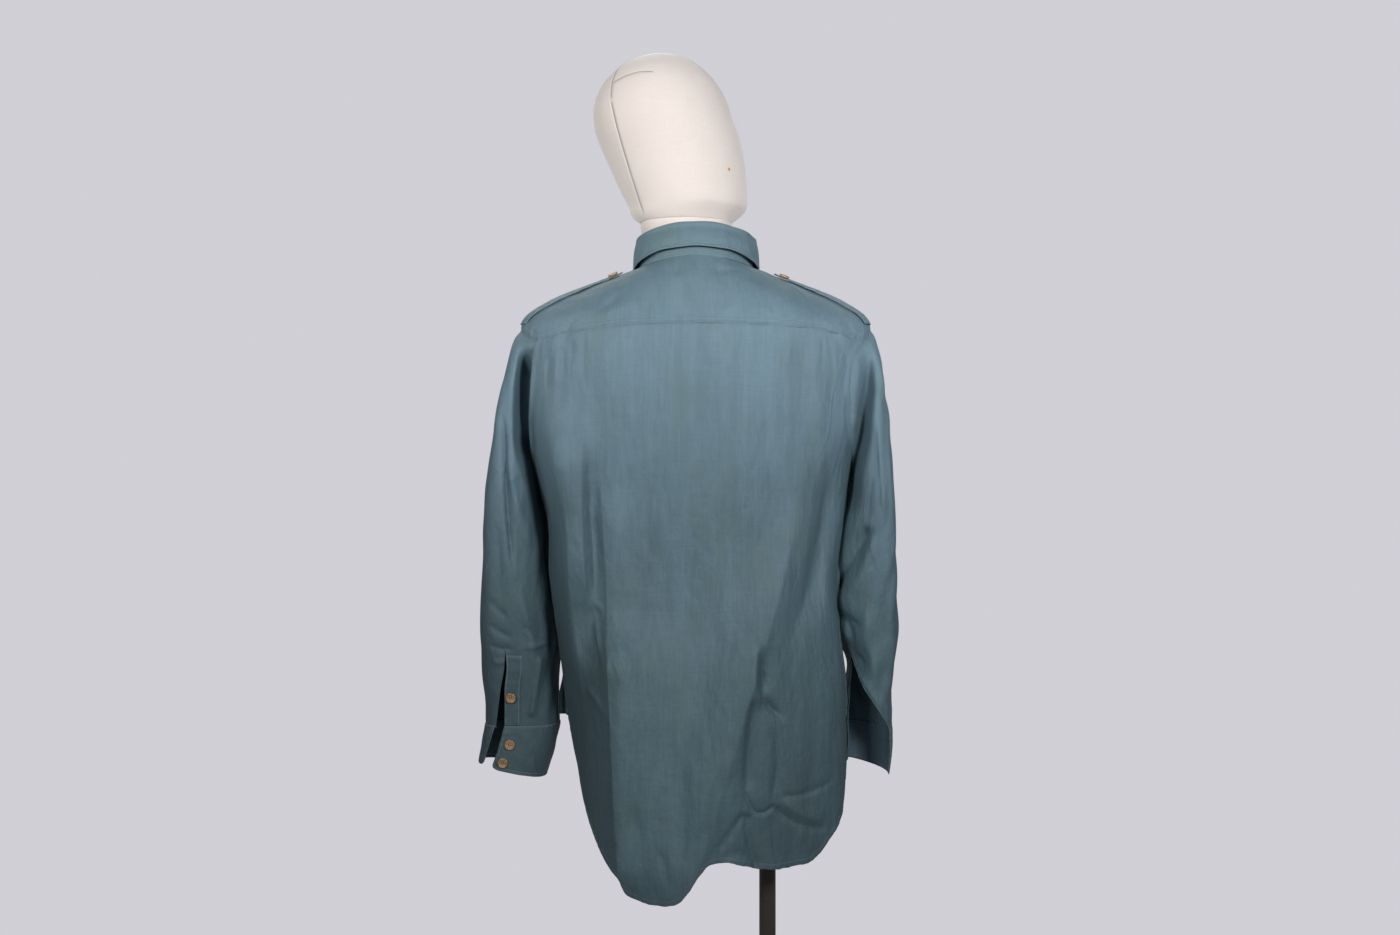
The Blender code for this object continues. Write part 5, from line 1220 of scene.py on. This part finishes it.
def armhole_loop(side, alpha, inset, sunk):
    """Points of the armhole at sleeve angles: 90 is the shoulder, 0 the back, -90 the underarm.

    Each half is the armhole's edge from the shoulder to the underarm, by share of its length;
    inset moves it under the body's edge, inward at the sides and up or down at its ends.
    """
    edge = float(armhole_back(SEAM_T, side))
    far = np.linspace(90, edge, 40)
    down = np.linspace(SEAM_T, UNDERARM_T, 120)[1:]
    back = np.stack([np.concatenate([far, armhole_back(down, side)]),
                     np.concatenate([seam_ring(far, edge), down])], -1)
    far = np.linspace(90, front_edge, 40)
    down = np.linspace(YOKE_T, UNDERARM_T, 120)[1:]
    front = np.stack([np.concatenate([far, armhole_front(down)]),
                      np.concatenate([far * 0 + YOKE_T, down])], -1)
    turn = (alpha + 90) % 360 - 90
    found = []
    for path, way in ((back, 1), (front, -1)):
        run = np.linalg.norm(np.diff(ring_surface(side * path[:, 0], path[:, 1]), axis=0), axis=1)
        run = np.pad(np.cumsum(run), (1, 0)) / run.sum()
        f = (90 - turn) / 180 if way > 0 else (turn - 90) / 180
        at = np.stack([np.interp(f, run, path[:, k]) for k in (0, 1)], -1)
        at[:, 0] -= way * np.degrees(inset / ARMHOLE_REACH) * np.sin(np.pi * np.clip(f, 0, 1))
        at[:, 1] -= inset / ARMHOLE_RING * np.cos(np.pi * np.clip(f, 0, 1))
        found.append(outward(body, side * at[:, 0], at[:, 1], np.full(len(at), -sunk)))
    return np.where((turn <= 90)[:, None], *found)


def section_point(table, side, v, alpha, lift=0.0):
    """Point of a sleeve or cuff at fractional row v: an ellipse through the outer and inner edge.

    Middle + half the outer-inner vector times sin alpha + half depth times cos alpha, both
    swelled toward a rounded box; the second leans by curl so that the front goes to the body.
    """
    row = smooth_rows(table, v)
    outer_x, outer_z, inner_x, inner_z, y, half_y, curl = np.moveaxis(row, -1, 0)[:7]
    s, c = np.sin(np.radians(alpha)), np.cos(np.radians(alpha))
    swell = (np.abs(s) ** 2.5 + np.abs(c) ** 2.5) ** (-1 / 2.5)
    s, c = s * swell, c * swell
    long_x, long_z = (outer_x - inner_x) / 2, (outer_z - inner_z) / 2
    grow = 1 + lift / np.hypot(np.hypot(long_x, long_z) * s, half_y * c)
    x = (outer_x + inner_x) / 2 + (long_x * s + np.sin(np.radians(curl)) * half_y * c) * grow
    z = (outer_z + inner_z) / 2 + long_z * s * grow
    y = y + np.cos(np.radians(curl)) * half_y * c * grow
    return np.stack([side * x, y, z], -1)


def sleeve_folds(grid, core, side, table, tucks, seed):
    """Folds of the back half, and like ones a little lower and softer on the front half."""
    normal = normals(grid, core)
    back_share = eased((normal[..., 1] + 0.05) / 0.5)
    front_share = eased((-normal[..., 1] + 0.05) / 0.5)
    x = side * grid[..., 0]
    height = fold_height(x, grid[..., 2], table) * back_share
    height += fold_height(x + 0.006, grid[..., 2] * 1.01, table) * 0.8 * front_share
    height += unevenness(grid, seed, 0.030, 0.11, 0.0016)
    moved = normal * height[..., None]
    behind = eased((grid[..., 1] - core[..., 1] + 0.004) / 0.020)
    moved[..., 1] += fold_height(x, grid[..., 2], tucks) * behind
    return moved


SLEEVES = {"left": LEFT_SLEEVE, "right": RIGHT_SLEEVE}
CUFFS = {"left": LEFT_CUFF, "right": RIGHT_CUFF}
SLEEVE_FOLDS = {"left": LEFT_SLEEVE_FOLDS, "right": RIGHT_SLEEVE_FOLDS}
SLEEVE_SEED = {"left": 41, "right": 43}
TUCKS = {"left": (LEFT_TUCKS, 0.6), "right": (RIGHT_TUCKS, 1.4)}    # rows they take to begin
SLEEVE_AROUND, SLEEVE_LONG = 132, 186
SLIT_ROW = 11            # the slit starts at this row, counting the armhole's two
# The right slit's edges are turned in and stitched twice; the left one's are bound plainly.
SLIT_ROWS = {"left": (), "right": (("left", 0.0022), ("right", 0.0022), ("left", 0.0090),
                                   ("right", 0.0090))}
for word, side in SIDES.items():
    table, seed = SLEEVES[word], SLEEVE_SEED[word]
    share = spread(SLEEVE_AROUND, 0.36)
    turns = [start + (end - start) * share for *_, start, end in table]
    rows = [armhole_loop(side, turns[0], inset, sunk)
            for inset, sunk in ((LAP, 0.0013), (0.0, 0.0011))]
    rows += [section_point(table, side, v + 0 * share, turn) for v, turn in enumerate(turns)]
    at = np.unique(np.concatenate([np.linspace(0, len(rows) - 1, SLEEVE_LONG), [SLIT_ROW]]))
    grid = smooth_rows(np.array(rows), at)
    closed = int(np.sum(at <= SLIT_ROW))
    core = grid.mean(axis=1, keepdims=True)
    tucks, start = TUCKS[word]
    weight = eased((at - 1.0) / start) * (1 - 0.9 * eased((at - len(rows) + 2.6) / 1.2))
    moved = sleeve_folds(grid, core, side, SLEEVE_FOLDS[word], tucks, seed)
    grid += moved * weight[:, None, None]
    grid[:closed, -1] = grid[:closed, 0]
    smooth_grid, maps = sewn(grid, core, rounded=("left", "right"),
                             stitched=SLIT_ROWS[word], pucker=0.00015, seed=seed)
    grid[closed:] = smooth_grid[closed:]
    sleeve = surface("sleeve_cloth_" + word, grid, core, closed_rows=closed, maps=maps)
    hang(sleeve, "sleeve_" + word, sateen("sleeve_sateen_" + word, SLIT_ROWS[word]), WALL)

# Cuffs: doubled bands with stitched edges, unbuttoned, their lower corners rounded.
CUFF_LONG, CUFF_DEEP, CUFF_CORNER, CUFF_T = 0.22, 0.058, 0.010, 0.0018
CUFF_LIFT = 0.0006       # off the table's sections
cuff_stitches = (("left", BAND_STITCH), ("right", BAND_STITCH), ("bottom", BAND_STITCH),
                 ("top", EDGE_STITCH))
for word, side in SIDES.items():
    cuff, seed = CUFFS[word], SLEEVE_SEED[word]
    share = spread(100, CUFF_LONG)[None]
    v = (2.0 * spread(40, CUFF_DEEP))[:, None]
    flat = CUFF_LONG * np.minimum(share, 1 - share)
    corner = CUFF_CORNER - np.sqrt(CUFF_CORNER**2 - np.clip(CUFF_CORNER - flat, 0, CUFF_CORNER)**2)
    v = v * (1 - corner / CUFF_DEEP)
    ends = smooth_rows(cuff, v)[..., 7:9]
    alpha = ends[..., 0] + (ends[..., 1] - ends[..., 0]) * share
    grid = section_point(cuff, side, v, alpha, CUFF_LIFT)
    core = grid.mean(axis=1, keepdims=True)
    grid = moved_out(grid, core, unevenness(grid, seed + 9, 0.030, 0.06, 0.0006))
    grid, maps = sewn(grid, core, rounded=("left", "right", "top", "bottom"),
                      stitched=cuff_stitches, roll=0.0010, pucker=0.0003, seed=seed)
    piece = surface("cuff_cloth_" + word, grid, core, maps=maps)
    hang(piece, "cuff_" + word, sateen("cuff_sateen_" + word, cuff_stitches), CUFF_T)

# Sleeve plackets: a strip stitched along each slit's button edge.
STRIP_TOP, STRIP_ROWS = 9.3, 3.65        # rows of the sleeve's table
STRIP_IN, STRIP_WIDE = 1.0, 23.0         # degrees from the slit's edge
STRIP_LIFT = 0.0013
strip_stitches = (("left", 0.0018), ("right", 0.0018), ("top", 0.0018))
for word, side in SIDES.items():
    table = SLEEVES[word]
    v = STRIP_TOP + STRIP_ROWS * spread(60, 0.105)[:, None]
    ends = smooth_rows(table, v)[..., 7:9]
    edge = ends[..., 0] if side > 0 else ends[..., 1]
    alpha = edge - (STRIP_IN + STRIP_WIDE * spread(16, 0.020))
    grid = section_point(table, side, v + 0 * alpha, alpha, STRIP_LIFT)
    core = np.array([side * 0.245, -0.018, 0.92])
    folds = fold_height(side * grid[..., 0], grid[..., 2], SLEEVE_FOLDS[word])
    grid = moved_out(grid, core, 0.5 * folds)
    grid, maps = sewn(grid, core, rounded=("left", "right", "top"), stitched=strip_stitches,
                      pucker=0.0001, seed=SLEEVE_SEED[word] + 2)
    piece = surface("sleeve_placket_cloth_" + word, grid, core, maps=maps)
    hang(piece, "sleeve_placket_" + word, sateen("sleeve_placket_sateen_" + word, strip_stitches),
         WALL)

# ------------------------------------------------------------------ shoulder straps
# Doubled straps sewn into the armhole seams, lying along the shoulders, pointed at the neck end
# where a button holds them down.
STRAP_HALF = 0.021
STRAP_T = 0.0016
STRAP_OUT = 0.0015 + STRAP_T             # its outer face, off the shoulder
STRAP_BACK = 0.0175                      # its middle lies this far behind the ridge
STRAP_START = 2.96                       # ring where it is sewn in
STRAP_TIP = {"left": 0.42, "right": 0.50}    # ring of its pointed end
POINT_LONG = 0.26                        # rings that the point takes


def strap_point(side, ring, across, lift):
    """On the shoulder, across metres behind the strap's middle line, lifted off the yoke."""
    row = smooth_rows(RINGS, ring)
    y = across + STRAP_BACK
    reach = np.where(y > 0, row[..., 2], -row[..., 4]) + np.where(y > 0, -row[..., 3], row[..., 3])
    angle = 90.0 - np.sign(y) * np.degrees(np.arcsin((np.abs(y) / reach) ** (1 / row[..., 8])))
    return outward(body, side * angle, ring + 0 * angle, lift + 0 * angle)


strap_stitches = (("left", BAND_STITCH), ("right", BAND_STITCH))
for word, side in SIDES.items():
    tip = STRAP_TIP[word]
    ring = (STRAP_START + (tip - STRAP_START) * spread(90, 0.13))[:, None]
    width = STRAP_HALF * (1.0 - 0.12 * eased((1.6 - ring) / 0.6))
    width = width * (1 - 0.97 * np.clip((tip + POINT_LONG - ring) / POINT_LONG, 0, 1) ** 2.2)
    across = width * (-1 + 2 * spread(22, 0.042))
    grid = strap_point(side, ring, across, STRAP_OUT + 0 * ring)
    core = np.array([side * 0.15, 0.0, 1.30])
    grid, maps = sewn(grid, core, rounded=("left", "right", "bottom"), stitched=strap_stitches,
                      pucker=0.0003, roll=0.0008, seed=51)
    strap = surface("strap_cloth_" + word, grid, core, maps=maps)
    hang(strap, "shoulder_strap_" + word, sateen("strap_sateen_" + word, strap_stitches, painted_light_share=0.1),
         STRAP_T)

# ------------------------------------------------------------------ buttons
# Turned and polished tan buttons with a sunk face and four holes, sewn on with two bars of
# brown-green thread.
BUTTON_R, BUTTON_T = 0.0070, 0.0030
ON_TOP = 0.0005
HOLE_OUT, HOLE_R, HOLE_DEEP = 0.00135, 0.00072, 0.0013
SUNK_FACE = 0.58
BAR_R, BAR_ARCH, BAR_SUNK = 0.00042, 0.0007, 0.0005
BUTTON = ((0.00, SUNK_FACE), (0.25, SUNK_FACE), (0.50, 0.60), (0.62, 0.66), (0.70, 0.92),
          (0.78, 1.00), (0.88, 1.00), (0.96, 0.88), (1.00, 0.60), (0.97, 0.25), (0.88, 0.04),
          (0.70, 0.00), (0.00, 0.00))   # (radius, height), shares of its radius and thickness


def button_grid(place, normal, twist):
    """The button's profile carried round its axis, with four round holes sunk in its face."""
    at = np.concatenate([np.linspace(0, 3, 18), np.linspace(3, 12, 25)[1:]])
    radius, height = np.maximum(smooth_rows(BUTTON, at), 0).T[:, :, None]
    turn = np.linspace(0, 2 * np.pi, 49)
    x, y = radius * BUTTON_R * np.cos(turn), radius * BUTTON_R * np.sin(turn)
    hole = np.hypot(np.abs(x) - HOLE_OUT, np.abs(y) - HOLE_OUT)
    on_face = (at < 3.2)[:, None]
    up = height * BUTTON_T - HOLE_DEEP * on_face * (1 - eased((hole / HOLE_R - 0.75) / 0.4))
    frame_z = np.asarray(normal) / np.linalg.norm(normal)
    frame_x = np.cross((np.sin(twist), 0.0, np.cos(twist)), frame_z)
    frame_x /= np.linalg.norm(frame_x)
    frame_y = np.cross(frame_z, frame_x)
    grid = (np.asarray(place) + frame_z * ON_TOP + x[..., None] * frame_x + y[..., None] * frame_y
            + up[..., None] * frame_z)
    return grid, np.stack([x, y], -1), (frame_x, frame_y, frame_z)


def horn(name):
    """Tan button stuff: streaky, polished, with painted shade in its holes."""
    paste = Finish(name, Specular_IOR_Level=0.5, Coat_Weight=0.35, Coat_Roughness=0.25)
    flat = paste.flat("face")
    place = paste.place()
    streaks = paste.noise(place, (260.0, 260.0, 700.0), 3.0, 0.6)
    cloudy = paste.noise(place, (120.0, 120.0, 120.0), 2.0)
    colour = paste.blend((streaks * 0.6 + cloudy * 0.4).between(0.3, 0.7),
                         (0.190, 0.105, 0.045), (0.360, 0.225, 0.115))
    x = abs(flat.part("X")) - HOLE_OUT
    y = abs(flat.part("Y")) - HOLE_OUT
    hole = (x * x + y * y).of("SQRT")
    # Painted shade: near-black in the four holes, which are only shallow dips in the face.
    colour = paste.blend(hole.between(HOLE_R * 1.1, HOLE_R * 0.7), colour, (0.03, 0.018, 0.01))
    return paste.done(colour, streaks * 0.15 + 0.28, streaks * 0.00005)


horn_finish = horn("tan_horn")
thread_bars = []


def button(name, place, normal, twist=0.0):
    """One button where its plain solid is, and the two bars of thread that hold it."""
    grid, flat, (frame_x, frame_y, frame_z) = button_grid(place, normal, twist)
    middle = np.asarray(place) + frame_z * BUTTON_T * 0.5
    piece = surface(name + "_turned", grid, middle, closed_rows=len(grid), poles=(0, -1),
                    maps={"face": flat})
    piece.data.materials.append(horn_finish)
    in_place_of(piece, name)
    t = np.linspace(0, 1, 11)[:, None, None]
    along = HOLE_OUT * (2 * t - 1)
    rise = BUTTON_T * SUNK_FACE + BAR_ARCH * np.sin(np.pi * t) - BAR_SUNK
    ring = np.linspace(0, 2 * np.pi, 9)[None, :, None]
    for beside_it in (-1, 1):
        thread_bars.append(np.asarray(place) + frame_z * (ON_TOP + rise + BAR_R * 0.6 * np.sin(ring))
                           + frame_x * (beside_it * HOLE_OUT + BAR_R * np.cos(ring))
                           + frame_y * along)


def normal_at(shape, u, v, step_u, step_v, away_from):
    """A shape's point and the direction out of it."""
    point = shape(np.array(u), np.array(v))
    normal = np.cross(shape(np.array(u + step_u), np.array(v)) - point,
                      shape(np.array(u), np.array(v + step_v)) - point)
    return point, normal if np.dot(normal, point - np.asarray(away_from)) > 0 else -normal


STRIP_OUT = 0.0021       # the sleeve buttons' seat on the strip
STRAP_BUTTON_RINGS, STRAP_BUTTON_BACK = 0.22, 0.0130    # from the strap's tip and middle line
FRONT_BUTTONS = (1.395, 1.305, 1.215, 1.125, 1.035, 0.945)
levels = np.linspace(0, 11.5, 400)
heights = body(np.full(400, 180.0), levels)[:, 2]
for k, z in enumerate(FRONT_BUTTONS, 1):
    ring = float(np.interp(-z, -heights, levels))
    button(f"front_button_{k}", *normal_at(
        lambda a, t: outward(body, a[None], t[None], np.array([PLACKET_LIFT]))[0], 180.0, ring,
        0.5, 0.02, (0, 0, z)))
button("collar_button", *normal_at(stand_point, 173.5, 0.5, 1.0, 0.05, (0, 0, 1.46)))
CUFF_BUTTONS = {
    # which, table row, degrees in from the edge
    "left": (("sleeve", 11.4, 11.0), ("cuff", 0.75, 17.0), ("cuff", 1.5, 16.0)),
    "right": (("sleeve", 11.4, 13.0), ("cuff", 0.6, 24.0), ("cuff", 1.35, 24.0)),
}
for word, side in SIDES.items():
    for k, (where, v, inward) in enumerate(CUFF_BUTTONS[word], 1):
        rows, lift = (SLEEVES[word], STRIP_OUT) if where == "sleeve" else (CUFFS[word], CUFF_LIFT)
        row = smooth_rows(rows, v)
        alpha = float(row[7] if side > 0 else row[8]) - inward
        middle = (side * (row[0] + row[2]) / 2, row[4], (row[1] + row[3]) / 2)
        button(f"cuff_button_{word}_{k}", *normal_at(
            lambda a, t: section_point(rows, side, t, a, lift), alpha, v, 1.0, 0.02, middle), 0.35)
for word, side in SIDES.items():
    ring = STRAP_TIP[word] + STRAP_BUTTON_RINGS
    button("strap_button_" + word, *normal_at(
        lambda a, t: strap_point(side, t[None], a[None], STRAP_OUT)[0], STRAP_BUTTON_BACK, ring,
        0.002, 0.02, (side * 0.1, 0, 1.3)))

pieces = [surface(f"thread_bar_{k}", bar, bar.mean(axis=1, keepdims=True), closed_rows=len(bar))
          for k, bar in enumerate(thread_bars)]
with bpy.context.temp_override(active_object=pieces[0], object=pieces[0], selected_objects=pieces,
                               selected_editable_objects=pieces):
    bpy.ops.object.join()
threads = pieces[0]
threads.name = "button_threads"
twine = Finish("button_thread", Sheen_Weight=0.2)
strand = twine.noise(twine.place(), (3000.0, 3000.0, 3000.0))
threads.data.materials.append(twine.done(
    twine.blend(strand, (0.045, 0.045, 0.030), (0.110, 0.100, 0.070)), 0.75,
    strand * 0.0001))
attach(threads, "root")
